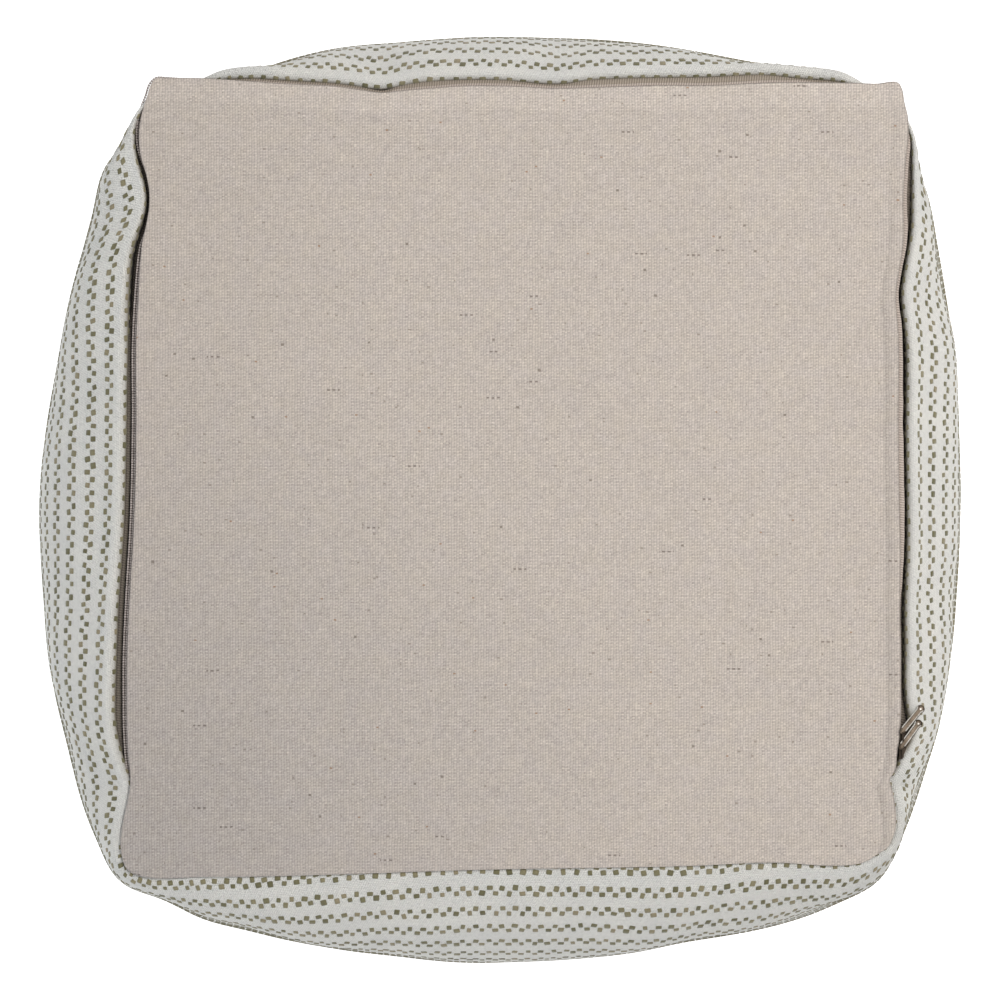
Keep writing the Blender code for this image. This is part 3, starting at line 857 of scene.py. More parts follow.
def grid_rim(rows, columns):
    """Row and column numbers round a grid's rim, anticlockwise."""
    rim = [(0, column) for column in range(columns - 1)]
    rim += [(row, columns - 1) for row in range(rows - 1)]
    rim += [(rows - 1, column) for column in range(columns - 1, 0, -1)]
    rim += [(row, 0) for row in range(rows - 1, 0, -1)]
    return rim


# ---------------------------------------------------------------- the zip

def zip_steps(spacing):
    """Evenly spaced places along the zip: (place on the canvas's edge, outward, gap)."""
    first, last = outline.zip_ends
    numbers = [(first + step) % DENSE for step in range((last - first) % DENSE + 1)]
    canvas, out, gap = ([line[number] for number in numbers]
                        for line in (outline.canvas, outline.out, outline.gap))
    runs = lengths_along(canvas, closed=False)
    steps = []
    length = 0.0
    while length <= runs[-1]:
        index, share = spot_on(runs, length)
        steps.append((canvas[index].lerp(canvas[index + 1], share),
                      out[index].lerp(out[index + 1], share).normalized(),
                      blend(gap[index], gap[index + 1], share)))
        length += spacing
    return steps


def coil_offset(place):
    """How far outside the canvas's edge the middle of the coil runs, in metres."""
    return round_table(COIL_OFFSETS, bearing(place)) * MM


def ribbon(name, sections):
    """A closed solid swept through equal sections, with a map in metres of its weave."""
    shape = bmesh.new()
    chart = shape.loops.layers.uv.new("weave")
    places, rings = {}, []
    for run, section in sections:
        around_it = 0.0
        rings.append([])
        for index, spot in enumerate(section):
            around_it += (Vector(spot) - Vector(section[index - 1])).length if index else 0.0
            vert = shape.verts.new(spot)
            places[vert] = (run, around_it)
            rings[-1].append(vert)
    bridge(shape, rings)
    close_ends(shape, rings)
    bmesh.ops.recalc_face_normals(shape, faces=shape.faces)
    for face in shape.faces:
        face.smooth = True
        for loop in face.loops:
            loop[chart].uv = places[loop.vert]
    return link(name, finished_mesh(shape, name))


def zip_tape(name, section_at):
    """A woven tape along the zip. section_at gives its level and its points: (out, height)."""
    sections = []
    run = 0.0
    for place, out, gap in zip_steps(TAPE_STEP):
        level, spots = section_at(place, gap, run)
        sections.append((run, [(*(place + out * away), level + up) for away, up in spots]))
        run += TAPE_STEP
    return ribbon(name, sections)


def cover_tape_section(place, gap, run):
    """The tape that is sewn under the cover's folded edge."""
    coil = coil_offset(place)
    inner = blend(-3.0 * MM, coil + COIL_HALF + 0.75 * MM, smooth_step(0.2 * MM, 1.1 * MM, coil))
    outer = max(gap + 0.5 * MM, inner + 1.0 * MM)
    middle = blend(inner, outer, 0.5)
    ripple = 0.25 * MM * noise.noise(Vector((run / 0.009, 1.0, 0.0)))
    level = RIM + round_table(TAPE_HEIGHTS, bearing(place)) * MM
    return level, [(inner, -0.3 * MM), (middle, 0.0), (outer, 0.2 * MM + ripple),
                   (outer, -TAPE_THICK), (middle, -TAPE_THICK), (inner, -TAPE_THICK)]


def canvas_tape_section(place, gap, run):
    """The tape that is sewn under the canvas, whose lip shows past the canvas's edge."""
    lip = min(round_table(LIP_WIDTHS, bearing(place)) * MM, gap - 0.7 * MM)
    lip = max(lip + 0.30 * MM * noise.noise(Vector((run / 0.012, 5.0, 0.0))), -1.5 * MM)
    level = CANVAS_TOP - CANVAS_THICK - 0.1 * MM
    return level, [(-2.4 * MM, 0.0), (lip - 0.4 * MM, 0.0), (lip, -0.25 * MM),
                   (lip - 0.1 * MM, -TAPE_THICK), (-2.4 * MM, -TAPE_THICK)]


def coil_tooth():
    """One turn of the coil seen from above: a low rounded bar with a raised head."""
    shape = bmesh.new()
    rings = []
    for reach, radius, top in ((0.06, 0.30, 0.42), (0.16, 0.46, 0.80), (0.45, 0.46, 0.86),
                               (0.80, 0.50, 1.00), (0.95, 0.46, 0.92), (1.00, 0.24, 0.60)):
        angles = [2 * pi * corner / 6 for corner in range(6)]
        rings.append([shape.verts.new((reach, radius * cos(angle),
                                       top * 0.5 + top * 0.5 * sin(angle))) for angle in angles])
    bridge(shape, rings)
    close_ends(shape, rings)
    bmesh.ops.recalc_face_normals(shape, faces=shape.faces)
    for face in shape.faces:
        face.smooth = True
    return bpy.data.objects.new("coil_tooth", finished_mesh(shape, "coil_tooth"))


def coil_line(side):
    """Points down the middle of the coil, each with the way that its tooth points."""
    steps = zip_steps(COIL_PITCH)
    mesh = bpy.data.meshes.new("coil_line")
    mesh.from_pydata([(*(place + out * (coil_offset(place) + side * 0.05 * MM)), COIL_LEVEL)
                      for place, out, _ in steps], [], [])
    way = mesh.attributes.new("way", "FLOAT_VECTOR", "POINT")
    for index, (_, out, _) in enumerate(steps):
        way.data[index].vector = (*(out * side), 0.0)
    return mesh


# ---------------------------------------------------------------- the zip's pulls

LIT_BEVEL, BRONZE, SHADED = 0, 1, 2     # numbers of a pull's three materials: painted highlight, bronze, painted shade


def pull_outline(inset):
    """A tongue with a round head: from its eye at the origin to its head, drawn in by inset."""
    half, head = PULL_HALF - inset, PULL_HEAD - inset
    eye = max(PULL_EYE - inset, 0.3 * MM)
    angles = [pi / 2 + pi * step / 6 for step in range(7)]
    spots = [(eye * cos(angle), eye * sin(angle)) for angle in angles]
    spots.append((PULL_EYE + 0.8 * MM, -half))
    touch = asin(half / head)
    angles = [blend(touch - pi, pi - touch, step / 16) for step in range(17)]
    spots += [(PULL_LONG + head * cos(angle), head * sin(angle)) for angle in angles]
    spots.append((PULL_EYE + 0.8 * MM, half))
    return spots


def zip_pull(name, eye, head, rise):
    """A thin plated pull: sides in painted shade, bevels in a painted highlight, a sunk bronze
    middle and a domed rivet.
    """
    shape = bmesh.new()
    rings = []
    for inset, up in ((0.0, 0.0), (0.0, 0.6), (0.22, 0.8), (0.86, 1.0), (1.04, 0.7)):
        lean = 0.16 * MM if up >= 0.8 else 0.0
        rings.append([shape.verts.new((x, y + lean * (x > PULL_EYE), up * MM))
                      for x, y in pull_outline(inset * MM)])
    for metal, ring, after in zip((SHADED, SHADED, LIT_BEVEL, SHADED), rings, rings[1:]):
        for face in bridge(shape, (ring, after)):
            middle = face.calc_center_median().x
            face.material_index = metal
            if metal == LIT_BEVEL and middle < PULL_EYE:
                face.material_index = BRONZE
            elif metal == LIT_BEVEL and middle > PULL_LONG:
                face.material_index = SHADED
    under, sunk = close_ends(shape, rings)
    under.material_index = SHADED
    sunk.material_index = BRONZE
    dome = []
    for reach, up in ((1.15, 0.5), (1.05, 0.95), (0.6, 1.2)):
        dome.append([shape.verts.new((PULL_LONG + reach * MM * cos(pi * step / 6),
                                      reach * MM * sin(pi * step / 6), up * MM))
                     for step in range(12)])
    for face in bridge(shape, dome):
        face.material_index = BRONZE
    close_ends(shape, dome)
    way = Vector(head) - Vector(eye)
    turn = Matrix.Rotation(atan2(way.y, way.x), 4, "Z")
    place = Matrix.Translation((eye[0] * MM, eye[1] * MM, RIM + rise * MM))
    bmesh.ops.transform(shape, matrix=place @ turn, verts=shape.verts)
    return link(name, finished_mesh(shape, name))


# ---------------------------------------------------------------- nodes

class Nodes:
    """Writes the nodes of one tree. Most methods add a node and give back its result."""

    def __init__(self, tree):
        self.tree = tree

    def node(self, kind, values=(), **settings):
        """Adds a node. values maps input names or numbers to numbers or to other sockets."""
        made = self.tree.nodes.new(kind)
        for name, value in settings.items():
            setattr(made, name, value)
        for key, value in dict(values).items():
            if isinstance(value, bpy.types.NodeSocket):
                self.tree.links.new(value, made.inputs[key])
            else:
                made.inputs[key].default_value = value
        return made

    def add(self, kind, values=(), out=0, **settings):
        return self.node(kind, values, **settings).outputs[out]

    def math(self, operation, *values):
        return self.add("ShaderNodeMath", dict(enumerate(values)), operation=operation)

    def plus(self, first, second):
        return self.math("ADD", first, second)

    def minus(self, first, second):
        return self.math("SUBTRACT", first, second)

    def times(self, first, second):
        return self.math("MULTIPLY", first, second)

    def line(self, value, slope, base):
        """A value times a slope, plus a base."""
        return self.math("MULTIPLY_ADD", value, slope, base)

    def swing(self, value, amount):
        """A noise's value turned into a swing to both sides of zero."""
        return self.times(self.minus(value, 0.5), amount)

    def cell(self, value, step):
        """Number of the cell, one step long, that a value falls in."""
        return self.math("FLOOR", self.math("DIVIDE", value, step))

    def wave(self, value, turn):
        return self.math("SINE", self.times(value, turn))

    def vector(self, operation, *values, out=0):
        return self.add("ShaderNodeVectorMath", dict(enumerate(values)), out, operation=operation)

    def scaled(self, vector, amount):
        """A vector made longer or shorter, or a colour made lighter or darker."""
        return self.add("ShaderNodeVectorMath", {0: vector, "Scale": amount}, operation="SCALE")

    def spot(self, x, y, z):
        return self.add("ShaderNodeCombineXYZ", {0: x, 1: y, 2: z})

    def parts(self, vector):
        return self.node("ShaderNodeSeparateXYZ", {0: vector}).outputs

    def between(self, share, first, second):
        return self.add("ShaderNodeMix", {0: share, 2: first, 3: second})

    def mapped(self, value, low, high, to_low, to_high):
        values = dict(enumerate((value, low, high, to_low, to_high)))
        return self.add("ShaderNodeMapRange", values)

    def noise(self, place, scale, detail=2.0, roughness=0.5):
        values = {"Vector": place, "Scale": scale, "Detail": detail, "Roughness": roughness}
        return self.add("ShaderNodeTexNoise", values, "Fac")

    def luck(self, cell):
        """A number from 0 to 1 that is the same all over one cell."""
        return self.add("ShaderNodeTexWhiteNoise", {"Vector": cell})

    def scatter(self, low, high, seed):
        """A random number for each point."""
        return self.add("FunctionNodeRandomValue", {2: low, 3: high, "Seed": seed}, 1,
                        data_type="FLOAT")

    def object_shape(self, piece):
        return self.add("GeometryNodeObjectInfo", {"Object": piece}, "Geometry",
                        transform_space="ORIGINAL")

    def stored(self, name):
        return self.add("GeometryNodeInputNamedAttribute", {"Name": name}, "Attribute",
                        data_type="FLOAT_VECTOR")

    def keep(self, geometry, name, value):
        """Stores a value on each point of a geometry."""
        return self.add("GeometryNodeStoreNamedAttribute",
                        {"Geometry": geometry, "Name": name, "Value": value},
                        data_type="FLOAT", domain="POINT")

    def moved(self, geometry, place):
        return self.add("GeometryNodeSetPosition", {"Geometry": geometry, "Position": place})

    def copies(self, points, original, turn, size):
        """A copy of an object on each point, made real."""
        placed = self.add("GeometryNodeInstanceOnPoints",
                          {"Points": points, "Instance": self.object_shape(original),
                           "Rotation": turn, "Scale": size})
        return self.add("GeometryNodeRealizeInstances", {"Geometry": placed})

    def put_out(self, geometry, finish):
        """Gives a geometry its material and ends the tree with it."""
        finished = self.add("GeometryNodeSetMaterial", {"Geometry": geometry, "Material": finish})
        self.node("NodeGroupOutput", {"Geometry": finished})


class Finish(Nodes):
    """A material, its nodes and its Principled shader."""

    def __init__(self, name, roughness, metallic=0.0, sheen=0.0):
        self.material = bpy.data.materials.new(name)
        self.material.use_nodes = True
        super().__init__(self.material.node_tree)
        self.shader = self.tree.nodes["Principled BSDF"]
        for socket, value in (("Roughness", roughness), ("Metallic", metallic),
                              ("Sheen Weight", sheen)):
            self.shader.inputs[socket].default_value = value

    def ramp(self, share, *stops):
        """A colour ramp: stops are (place, colour)."""
        made = self.node("ShaderNodeValToRGB", {0: share})
        elements = made.color_ramp.elements
        while len(elements) < len(stops):
            elements.new(0.5)
        for element, (place, colour) in zip(elements, stops):
            element.position = place
            element.color = (*colour, 1.0)
        return made.outputs[0]

    def mixed(self, mode, share, first, second):
        """A colour mixed with a plain one."""
        return self.add("ShaderNodeMix", {0: share, 6: first, 7: (*second, 1.0)}, 2,
                        data_type="RGBA", blend_type=mode)

    def chart(self, name):
        """A map and its own two coordinates, in metres."""
        chart = self.add("ShaderNodeUVMap", uv_map=name)
        across, up, _ = self.parts(chart)
        return chart, across, up

    def attribute(self, name):
        return self.add("ShaderNodeAttribute", out="Fac", attribute_name=name)

    def object_place(self):
        return self.add("ShaderNodeTexCoord", out="Object")

    def bump(self, height, distance, strength):
        values = {"Height": height, "Distance": distance, "Strength": strength}
        self.join("Normal", self.add("ShaderNodeBump", values))

    def join(self, name, result):
        self.tree.links.new(result, self.shader.inputs[name])


def new_group(kind, name, inputs, outputs):
    """A node group with its named sockets: (its nodes, what it is given)."""
    nodes = Nodes(bpy.data.node_groups.new(name, kind))
    for way, rows in (("INPUT", inputs), ("OUTPUT", outputs)):
        for title, sort, *value in rows:
            socket = nodes.tree.interface.new_socket(name=title, in_out=way,
                                                     socket_type="NodeSocket" + sort)
            if value:
                socket.default_value = value[0]
    return nodes, nodes.node("NodeGroupInput").outputs


def grown(name, mesh, tree, **values):
    """A piece that a node tree makes from a mesh. values are the tree's inputs."""
    piece = link(name, mesh)
    modifier = piece.modifiers.new("Grown", "NODES")
    modifier.node_group = tree
    for socket in tree.interface.items_tree:
        title = socket.name.lower().replace(" ", "_")
        if socket.item_type == "SOCKET" and socket.in_out == "INPUT" and title in values:
            modifier[socket.identifier] = values[title]
    return baked(piece)


# ---------------------------------------------------------------- coil teeth and woven blocks

def coil_tree():
    """Sets a tooth on each point of a line, turned to its way."""
    nodes, given = new_group("GeometryNodeTree", "coil teeth", (
        ("Geometry", "Geometry"), ("Tooth", "Object"), ("Long", "Float", COIL_HALF),
        ("Wide", "Float", COIL_PITCH), ("High", "Float", COIL_HIGH), ("Seed", "Int", SEED),
        ("Finish", "Material"),
    ), (("Geometry", "Geometry"),))
    turn = nodes.add("FunctionNodeAlignRotationToVector", {"Vector": nodes.stored("way")},
                     axis="X", pivot_axis="Z")
    wide = nodes.times(given["Wide"], nodes.scatter(0.93, 1.07, given["Seed"]))
    size = nodes.spot(given["Long"], wide, given["High"])
    nodes.put_out(nodes.copies(given["Geometry"], given["Tooth"], turn, size), given["Finish"])
    return nodes.tree


def block(name, half_outline, slices=1):
    """One pad, one unit wide and tall, foot at z 0 and top at z 1, that bends in its slices.

    half_outline is half of its outline, from its left side to its right side.
    """
    shape = bmesh.new()
    rings = []
    for size, lift in ((1.0, 0.0), (1.0 - BLOCK_INSET, 0.9)):
        rings.append([shape.verts.new((x * size, y * size, lift))
                      for x, y in half_outline + [(-x, -y) for x, y in half_outline]])
    bridge(shape, rings)
    close_ends(shape, rings)
    for cut in range(1, slices):
        where = cut / slices - 0.5
        every = list(shape.verts) + list(shape.edges) + list(shape.faces)
        bmesh.ops.bisect_plane(shape, geom=every, plane_co=(0, where, 0), plane_no=(0, 1, 0))
    for vert in shape.verts:
        if vert.co.z > 0.5 and abs(vert.co.y) < 0.25:
            vert.co.z = 1.0
    bmesh.ops.recalc_face_normals(shape, faces=shape.faces)
    return bpy.data.objects.new(name, finished_mesh(shape, name))


def block_tree():
    """Lays blocks out flat on the cloth's map, then wraps them on the cloth."""
    nodes, given = new_group("GeometryNodeTree", "woven blocks", (
        ("Geometry", "Geometry"), ("Cloth", "Object"), ("Block", "Object"), ("Columns", "Int", 10),
        ("Rows", "Int", 2), ("Start Across", "Float", 0.0), ("Start Down", "Float", 0.0),
        ("Period", "Float", PERIOD), ("Pitch", "Float", PITCH), ("Row Gap", "Float", ROW_GAP),
        ("Wide", "Float", BLOCK_WIDE), ("Tall", "Float", BLOCK_TALL), ("Lift", "Float", BLOCK_LIFT),
        ("Sink", "Float", BLOCK_SINK), ("Seed", "Int", SEED), ("Finish", "Material"),
    ), (("Geometry", "Geometry"),))

    def scatter(low, high, number):
        return nodes.scatter(low, high, nodes.plus(given["Seed"], number))

    # one point for each block, row after row, two staggered rows to a pair
    count = nodes.times(given["Columns"], given["Rows"])
    points = nodes.add("GeometryNodePoints", {"Count": count})
    number = nodes.add("GeometryNodeInputIndex")
    column = nodes.math("MODULO", number, given["Columns"])
    row = nodes.cell(nodes.plus(number, 0.5), given["Columns"])
    pair = nodes.cell(nodes.plus(row, 0.5), 2.0)
    side = nodes.minus(row, nodes.times(pair, 2.0))
    across = nodes.plus(column, nodes.times(side, 0.5))
    across = nodes.plus(across, nodes.plus(0.25, scatter(-0.05, 0.05, 1)))
    across = nodes.line(across, given["Period"], given["Start Across"])
    offset = nodes.times(nodes.plus(side, -0.5), given["Row Gap"])
    down = nodes.plus(nodes.line(pair, given["Pitch"], offset), given["Start Down"])
    down = nodes.plus(down, scatter(-0.40 * MM, 0.40 * MM, 2))
    placed = nodes.moved(points, nodes.spot(across, down, 0.0))

    # only those that lie whole on the cloth's map stay
    cloth = nodes.object_shape(given["Cloth"])
    chart = nodes.stored("cloth")
    here = nodes.add("GeometryNodeInputPosition")

    def read_cloth(value, at, out="Value"):
        return nodes.add("GeometryNodeSampleUVSurface",
                         {0: cloth, "Value": value, "Source UV Map": chart, "Sample UV": at},
                         out, data_type="FLOAT_VECTOR")

    reach = nodes.scaled(nodes.spot(0.0, given["Tall"], 0.0), 0.62)
    above = read_cloth(here, nodes.vector("SUBTRACT", here, reach), "Is Valid")
    below = read_cloth(here, nodes.vector("ADD", here, reach), "Is Valid")
    off = nodes.add("FunctionNodeBooleanMath", {0: above, 1: below}, operation="NAND")
    kept = nodes.add("GeometryNodeDeleteGeometry", {"Geometry": placed, "Selection": off},
                     domain="POINT")

    # blocks of uneven size, tone and turn, laid flat and then lifted on to the cloth
    toned = nodes.keep(kept, "tone", scatter(0.0, 1.0, 3))
    size = nodes.spot(nodes.times(given["Wide"], scatter(0.74, 1.10, 4)),
                      nodes.times(given["Tall"], scatter(0.74, 1.08, 5)), 1.0)
    twist = nodes.spot(0.0, 0.0, scatter(-0.22, 0.22, 6))
    flat = nodes.copies(toned, given["Block"], twist, size)
    height = nodes.parts(here)[2]
    crested = nodes.keep(flat, "crest", height)
    surface = read_cloth(here, here)
    outward = read_cloth(nodes.add("GeometryNodeInputNormal"), here)
    full = nodes.plus(given["Lift"], given["Sink"])
    rise = nodes.line(height, full, nodes.times(given["Sink"], -1.0))
    wrapped = nodes.moved(crested, nodes.vector("ADD", surface, nodes.scaled(outward, rise)))
    smoothed = nodes.add("GeometryNodeSetShadeSmooth", {"Geometry": wrapped})
    nodes.put_out(smoothed, given["Finish"])
    return nodes.tree


# ---------------------------------------------------------------- materials

def woven_threads():
    """Node group: a plain weave's height, which threads lie on top, and each thread's tone."""
    nodes, given = new_group("ShaderNodeTree", "woven threads", (
        ("Across", "Float", 0.0), ("Up", "Float", 0.0), ("Warp", "Float", 1.0 * MM),
        ("Weft", "Float", 1.0 * MM),
    ), (("Height", "Float"), ("Over", "Float"), ("Tone", "Float")))
    counts = [nodes.math("DIVIDE", given["Across"], given["Warp"]),
              nodes.math("DIVIDE", given["Up"], given["Weft"])]
    warp, weft = [nodes.math("FLOOR", count) for count in counts]
    beside, below = [nodes.minus(nodes.math("FRACT", count), 0.5) for count in counts]
    over = nodes.math("ABSOLUTE", nodes.math("MODULO", nodes.plus(warp, weft), 2.0))

    def hump(across, along_it, roundness):
        arch = nodes.math("COSINE", nodes.times(along_it, 2.6))
        return nodes.times(nodes.line(nodes.times(across, across), -roundness, 1.0), arch)

    def thread_tone(number, other, seed):
        place = nodes.spot(nodes.times(number, 0.73), nodes.times(other, 0.16), seed)
        return nodes.noise(place, 1.0, 2.0, 0.6)

    height = nodes.between(over, hump(beside, below, 3.6), hump(below, beside, 2.0))
    tone = nodes.between(over, thread_tone(warp, weft, 0.0), thread_tone(weft, warp, 61.0))
    nodes.node("NodeGroupOutput", {"Height": height, "Over": over, "Tone": tone})
    return nodes.tree


THREADS = woven_threads()


def threads(made, across, up, warp, weft):
    """The weave's height, which threads lie on top, and each thread's tone."""
    return made.node("ShaderNodeGroup", {"Across": across, "Up": up, "Warp": warp, "Weft": weft},
                     node_tree=THREADS).outputs


def canvas_light(made, chart, across, up, height, over):
    """Lightness of the canvas's threads: darker between them and uneven along them."""
    light = made.mapped(height, -0.1, 1.0, CANVAS_SHADE, 1.06)
    light = made.line(over, 0.04, light)
    slant = made.minus(made.math("DIVIDE", across, WARP), made.math("DIVIDE", up, WEFT))
    light = made.line(made.wave(slant, pi), 0.05, light)
    fibres = made.noise(chart, 1300.0, 2.0, 0.6)
    light = made.line(made.minus(fibres, 0.5), 0.35, light)
    light = made.line(made.wave(up, pi / WEFT), 0.05, light)
    crossing = made.spot(made.cell(across, WARP), made.cell(up, WEFT), 9.0)
    return made.line(made.minus(made.luck(crossing), 0.5), 0.16, light)


def canvas_slubs(made, colour, across, up, over):
    """Short dark stretches of thread, chosen at random. The long ones lie on the weft alone."""
    for seed, (long, high, share, dark) in enumerate(SLUBS, 1):
        cell = made.spot(made.cell(across, long), made.cell(up, high), seed)
        mask = made.math("GREATER_THAN", made.luck(cell), 1.0 - share)
        if long > WARP:
            mask = made.times(mask, over)
        colour = made.mixed("MIX", made.times(mask, 0.75), colour, dark)
    return colour


def canvas_hem_shading(made, colour, across, up):
    """Paints shade on the canvas's right hem and along its top and right edges, and draws the top
    hem a little lighter.
    """
    width, length = CANVAS_CUT
    from_right = made.minus(width, across)
    from_top = made.minus(length, up)
    # painted shade: a dark valley along the right hem's fold, lighter again towards the edge, fading
    # out near the top
    fold = made.mapped(from_right, SIDE_HEM - 1.8 * MM, SIDE_HEM - 0.4 * MM, 0.82, 1.0)
    rounded = made.mapped(from_right, 2.5 * MM, SIDE_HEM - 1.8 * MM, 1.19, 1.0)
    side_shade_fade = made.mapped(from_top, 0.05, 0.16, 0.35, 1.0)
    side_hem_shade = made.between(side_shade_fade, 1.0, made.times(fold, rounded))
    # the top hem's strip is drawn a little lighter
    top_hem = made.mapped(from_top, TOP_HEM - 1.0 * MM, TOP_HEM + 1.0 * MM, 1.06, 1.0)
    colour = made.scaled(colour, made.times(side_hem_shade, top_hem))
    # painted shade: a thin dark line along the right and top edges
    right_edge_shade = made.mapped(from_right, 0.5 * MM, 1.5 * MM, 0.66, 1.0)
    top_edge_shade = made.mapped(from_top, 0.35 * MM, 0.95 * MM, 0.50, 1.0)
    return made.scaled(colour, made.times(right_edge_shade, top_edge_shade))


def canvas_material():
    """Oatmeal plain weave with uneven threads, small dark slubs, painted shade on its hems and
    edges, and painted shade towards the lower left.
    """
    made = Finish("oatmeal canvas", roughness=0.95, sheen=0.1)
    chart, across, up = made.chart("threads")
    wobble = made.swing(made.noise(chart, 60.0), 1.2 * MM)
    fidget = made.swing(made.noise(chart, 260.0), 1.1 * MM)
    across = made.plus(across, made.plus(wobble, fidget))
    up = made.minus(made.plus(up, wobble), fidget)
    height, over, tone = threads(made, across, up, WARP, WEFT)
    colour = made.ramp(tone, (0.28, (0.483, 0.422, 0.376)), (0.45, (0.542, 0.480, 0.424)),
                       (0.58, (0.577, 0.513, 0.451)), (0.75, (0.631, 0.564, 0.493)))
    colour = made.scaled(colour, canvas_light(made, chart, across, up, height, over))
    lilac = made.mapped(made.noise(chart, 75.0, 3.0, 0.65), 0.36, 0.64, 0.0, 1.0)
    colour = made.mixed("MULTIPLY", lilac, colour, (0.977, 0.982, 1.016))
    cloudy = made.noise(chart, 22.0, 4.0, 0.6)
    colour = made.scaled(colour, made.mapped(cloudy, 0.3, 0.7, 0.963, 0.995))
    colour = canvas_slubs(made, colour, across, up, over)
    _, cut_across, cut_up = made.chart("cut")
    colour = canvas_hem_shading(made, colour, cut_across, cut_up)
    # painted shade: darker round the lower left corner and towards the left edge, where the light
    # falls off
    corner_shade = made.vector("DISTANCE", chart, PAINTED_SHADE_CORNER, out=1)
    corner_shade = made.mapped(corner_shade, 0.0, 0.34, 0.95, 0.0)
    colour = made.mixed("MULTIPLY", corner_shade, colour, (0.775, 0.795, 0.83))
    colour = made.scaled(colour, made.mapped(cut_across, 0.0, 0.15, 0.95, 1.0))
    made.join("Base Color", colour)
    made.bump(made.line(tone, 0.5, height), 0.28 * MM, 0.8)
    return made.material


def cover_material():
    """Off-white cloth of small slanting stitches, with brown and then near-black painted shade in
    the zip's groove and round its pulls.
    """
    made = Finish("off-white cloth", roughness=0.95, sheen=0.15)
    chart, across, up = made.chart("cloth")
    wobble = made.times(made.noise(chart, 260.0), 0.9 * MM)
    slanted = made.line(up, 0.5, made.plus(across, wobble))
    height, _, tone = threads(made, slanted, made.plus(up, wobble), COVER_THREAD,
                              COVER_THREAD * 0.8)
    relief = made.line(made.noise(chart, 600.0, 3.0, 0.7), 2.8, height)
    light = made.line(tone, 0.10, made.mapped(relief, 1.1, 2.9, 0.72, 1.12))
    cloudy = made.noise(chart, 45.0, 3.0)
    colour = made.ramp(cloudy, (0.3, (0.752, 0.750, 0.723)), (0.7, (0.814, 0.804, 0.758)))
    crease = made.attribute("crease")
    # painted shade: brown, then near black, in the zip's groove and round the pulls
    groove_shade = made.mapped(crease, 0.0, 0.60, 0.0, 1.0)
    colour = made.mixed("MIX", groove_shade, made.scaled(colour, light), (0.215, 0.170, 0.105))
    deep = made.mapped(crease, 0.50, 1.0, 0.0, 1.0)
    made.join("Base Color", made.mixed("MIX", deep, colour, (0.030, 0.022, 0.014)))
    made.bump(relief, 0.55 * MM, 1.0)
    return made.material


def block_material(name, *stops):
    """The tufted yarn of a block: its own tone, painted shade towards its foot, and a few twisted
    plies.
    """
    made = Finish(name, roughness=0.9, sheen=0.2)
    plies = made.noise(made.object_place(), 1400.0, 2.0, 0.6)
    mottled = made.line(plies, 0.5, made.attribute("tone"))
    colour = made.ramp(made.times(mottled, 0.67), *stops)
    # painted shade: darker towards the block's foot
    light = made.mapped(made.attribute("crest"), 0.3, 1.0, 0.55, 1.0)
    light = made.times(light, made.mapped(plies, 0.3, 0.7, 0.85, 1.12))
    made.join("Base Color", made.scaled(colour, light))
    made.bump(plies, 0.3 * MM, 0.6)
    return made.material


def tape_material(name, shade):
    """Ribbed tape, with painted shade where it runs down the left side."""
    made = Finish(name, roughness=0.85, sheen=0.1)
    chart, run, across = made.chart("weave")
    rib = made.wave(made.line(across, 0.15, run), 2 * pi / TAPE_RIB)
    light = made.line(made.noise(chart, 1500.0), 0.3, made.line(rib, 0.30, 0.85))
    # painted shade: the tape on the left side, which the fold shades, is drawn darker
    left = made.parts(made.object_place())[0]
    light = made.times(light, made.mapped(left, -0.214, -0.204, 0.52, 1.0))
    made.join("Base Color", made.scaled(shade, light))
    made.bump(rib, 0.2 * MM, 0.7)
    return made.material


def coil_material():
    """Taupe nylon, a little glossy, uneven from tooth to tooth."""
    made = Finish("nylon coil", roughness=0.38)
    uneven = made.noise(made.object_place(), 500.0)
    made.join("Base Color", made.ramp(uneven, (0.3, (0.330, 0.285, 0.265)),
                                      (0.7, (0.520, 0.460, 0.435))))
    return made.material


def metal_material(name, dull, bright, roughness):
    """Plated metal, faintly brushed, dull in places."""
    made = Finish(name, roughness=roughness, metallic=1.0)
    place = made.object_place()
    scratches = made.noise(place, 900.0, 3.0, 0.7)
    made.join("Base Color", made.ramp(made.noise(place, 160.0), (0.35, dull), (0.65, bright)))
    rough = made.mapped(scratches, 0.3, 0.7, roughness - 0.08, roughness + 0.12)
    made.join("Roughness", rough)
    made.bump(scratches, 0.05 * MM, 0.5)
    return made.material


# ---------------------------------------------------------------- build

def dress(piece, slot, *nodes, finishes=()):
    """Gives a piece its materials and its body, and hides the solids that it replaces. The slot is
    not used.
    """
    for finish in finishes:
        piece.data.materials.append(finish)
    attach(piece, "root")
    if nodes:
        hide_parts(*nodes)
    return piece


cover = dress(striped_cover(), "striped_cloth", "filled_cover", finishes=[cover_material()])

olive = block_material("olive yarn", (0.0, (0.088, 0.081, 0.034)), (0.35, (0.156, 0.144, 0.072)),
                       (0.75, (0.235, 0.208, 0.120)), (1.0, (0.340, 0.268, 0.182)))
blocks = block_tree()
cut_square = [(-0.5, 0.40), (-0.5, -0.40), (-0.40, -0.5), (0.40, -0.5)]
plain_block = block("plain_block", [(-0.5, 0.5), (-0.5, -0.5)])
round_block = block("round_block", cut_square)
bent_block = block("bent_block", cut_square, 5)


def woven_blocks(name, shape, **layout):
    """A piece with every block of some rows of the cloth."""
    piece = grown(name, bpy.data.meshes.new(name), blocks, cloth=cover, block=shape, finish=olive,
                  **layout)
    return dress(piece, "striped_cloth")


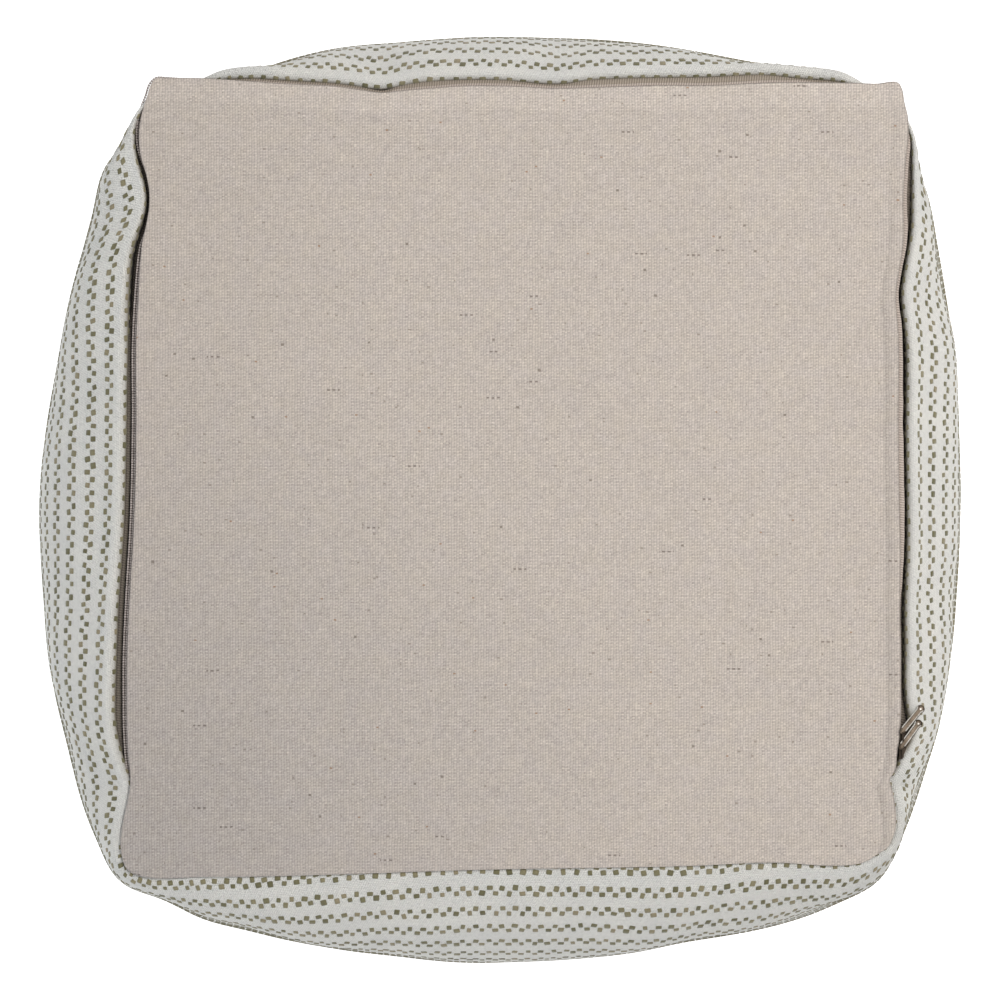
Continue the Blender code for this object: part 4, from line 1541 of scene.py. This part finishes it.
around = round(outline.round / PERIOD)
bands = (("fold_blocks", bent_block), ("upper_blocks", round_block),
         ("middle_blocks", plain_block), ("lower_blocks", plain_block))
for (name, shape), first, last in zip(bands, BLOCK_BANDS, BLOCK_BANDS[1:]):
    woven_blocks(name, shape, columns=around, rows=2 * (last - first), start_across=0.0,
                 start_down=first * PITCH, period=outline.round / around)
seat_rows = int(SEAT_CLOTH / PITCH)
seat_columns = int(SEAT_CLOTH / PERIOD)
woven_blocks("seat_blocks", plain_block, columns=seat_columns, rows=2 * seat_rows,
             start_across=SEAT_CHART - seat_columns / 2 * PERIOD,
             start_down=-seat_rows / 2 * PITCH)

canvas = link("canvas_base", canvas_mesh())
dress(canvas, "canvas", "base_panel", finishes=[canvas_material()])

dress(zip_tape("cover_tape", cover_tape_section), "tape", "zip_tape",
      finishes=[tape_material("taupe tape", TAPE_COLOUR)])
dress(zip_tape("canvas_tape", canvas_tape_section), "tape", "zip_tape",
      finishes=[tape_material("pale tape", LIP_COLOUR)])
teeth = coil_tree()
tooth = coil_tooth()
nylon = coil_material()
dress(grown("coil_outer", coil_line(1), teeth, tooth=tooth, finish=nylon), "coil", "zip_chain")
dress(grown("coil_inner", coil_line(-1), teeth, tooth=tooth, finish=nylon), "coil")

# The pulls' one plating as three materials: a lit copy for the painted highlight, its bronze, and a
# dark copy for painted shade
lit_bevel_metal = metal_material("warm nickel", (0.74, 0.68, 0.60), (0.95, 0.91, 0.84), 0.28)
bronze = metal_material("bronze", (0.11, 0.085, 0.062), (0.27, 0.215, 0.165), 0.34)
shaded = metal_material("dark bronze", (0.035, 0.028, 0.022), (0.070, 0.055, 0.042), 0.45)
for name, eye, head, rise, node in PULLS:
    dress(zip_pull(name, eye, head, rise), "zip_metal", node, finishes=[lit_bevel_metal, bronze, shaded])
# the sliders are drawn in the bronze of painted shade
for name in ("zip_slider_1", "zip_slider_2"):
    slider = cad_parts[name]
    slider.data.materials.clear()
    slider.data.materials.append(shaded)


def photo_camera():
    data = bpy.data.cameras.new("camera")
    data.sensor_width = SENSOR
    data.lens = SENSOR * CAMERA_RISE / VIEW_WIDTH
    camera = link("camera", data)
    camera.location = (0.0, 0.0, CANVAS_TOP + CAMERA_RISE)
    bpy.context.scene.camera = camera


def soft_light(name, place, size, power, colour):
    data = bpy.data.lights.new(name, "AREA")
    data.shape = "RECTANGLE"
    data.size, data.size_y = size
    data.energy = power
    data.color = colour
    lamp = link(name, data)
    lamp.location = place
    lamp.rotation_euler = (Vector((0, 0, 0.3)) - Vector(place)).to_track_quat("-Z", "Y").to_euler()


def studio():
    """A pale, softly lit floor and large lamps, the strongest from the upper right."""
    mesh = bpy.data.meshes.new("floor")
    corners = [(x * FLOOR_HALF, y * FLOOR_HALF, 0.0)
               for x, y in ((-1, -1), (1, -1), (1, 1), (-1, 1))]
    mesh.from_pydata(corners, [], [(0, 1, 2, 3)])
    made = Finish("floor", roughness=1.0)
    speckle = made.noise(made.object_place(), 3.0)
    made.join("Base Color", made.ramp(speckle, (0.3, (0.90, 0.90, 0.90)), (0.7, (0.92, 0.92, 0.92))))
    made.shader.inputs["Emission Color"].default_value = (1.0, 1.0, 1.0, 1.0)
    made.shader.inputs["Emission Strength"].default_value = FLOOR_GLOW
    mesh.materials.append(made.material)
    link("floor", mesh)
    for lamp in LAMPS:
        soft_light(*lamp)
    world = bpy.data.worlds.new("studio")
    world.use_nodes = True
    sky = world.node_tree.nodes["Background"]
    sky.inputs["Color"].default_value = (1.0, 1.0, 1.0, 1.0)
    sky.inputs["Strength"].default_value = SKY_LIGHT
    bpy.context.scene.world = world
    bpy.context.scene.view_settings.view_transform = "Standard"


photo_camera()
studio()
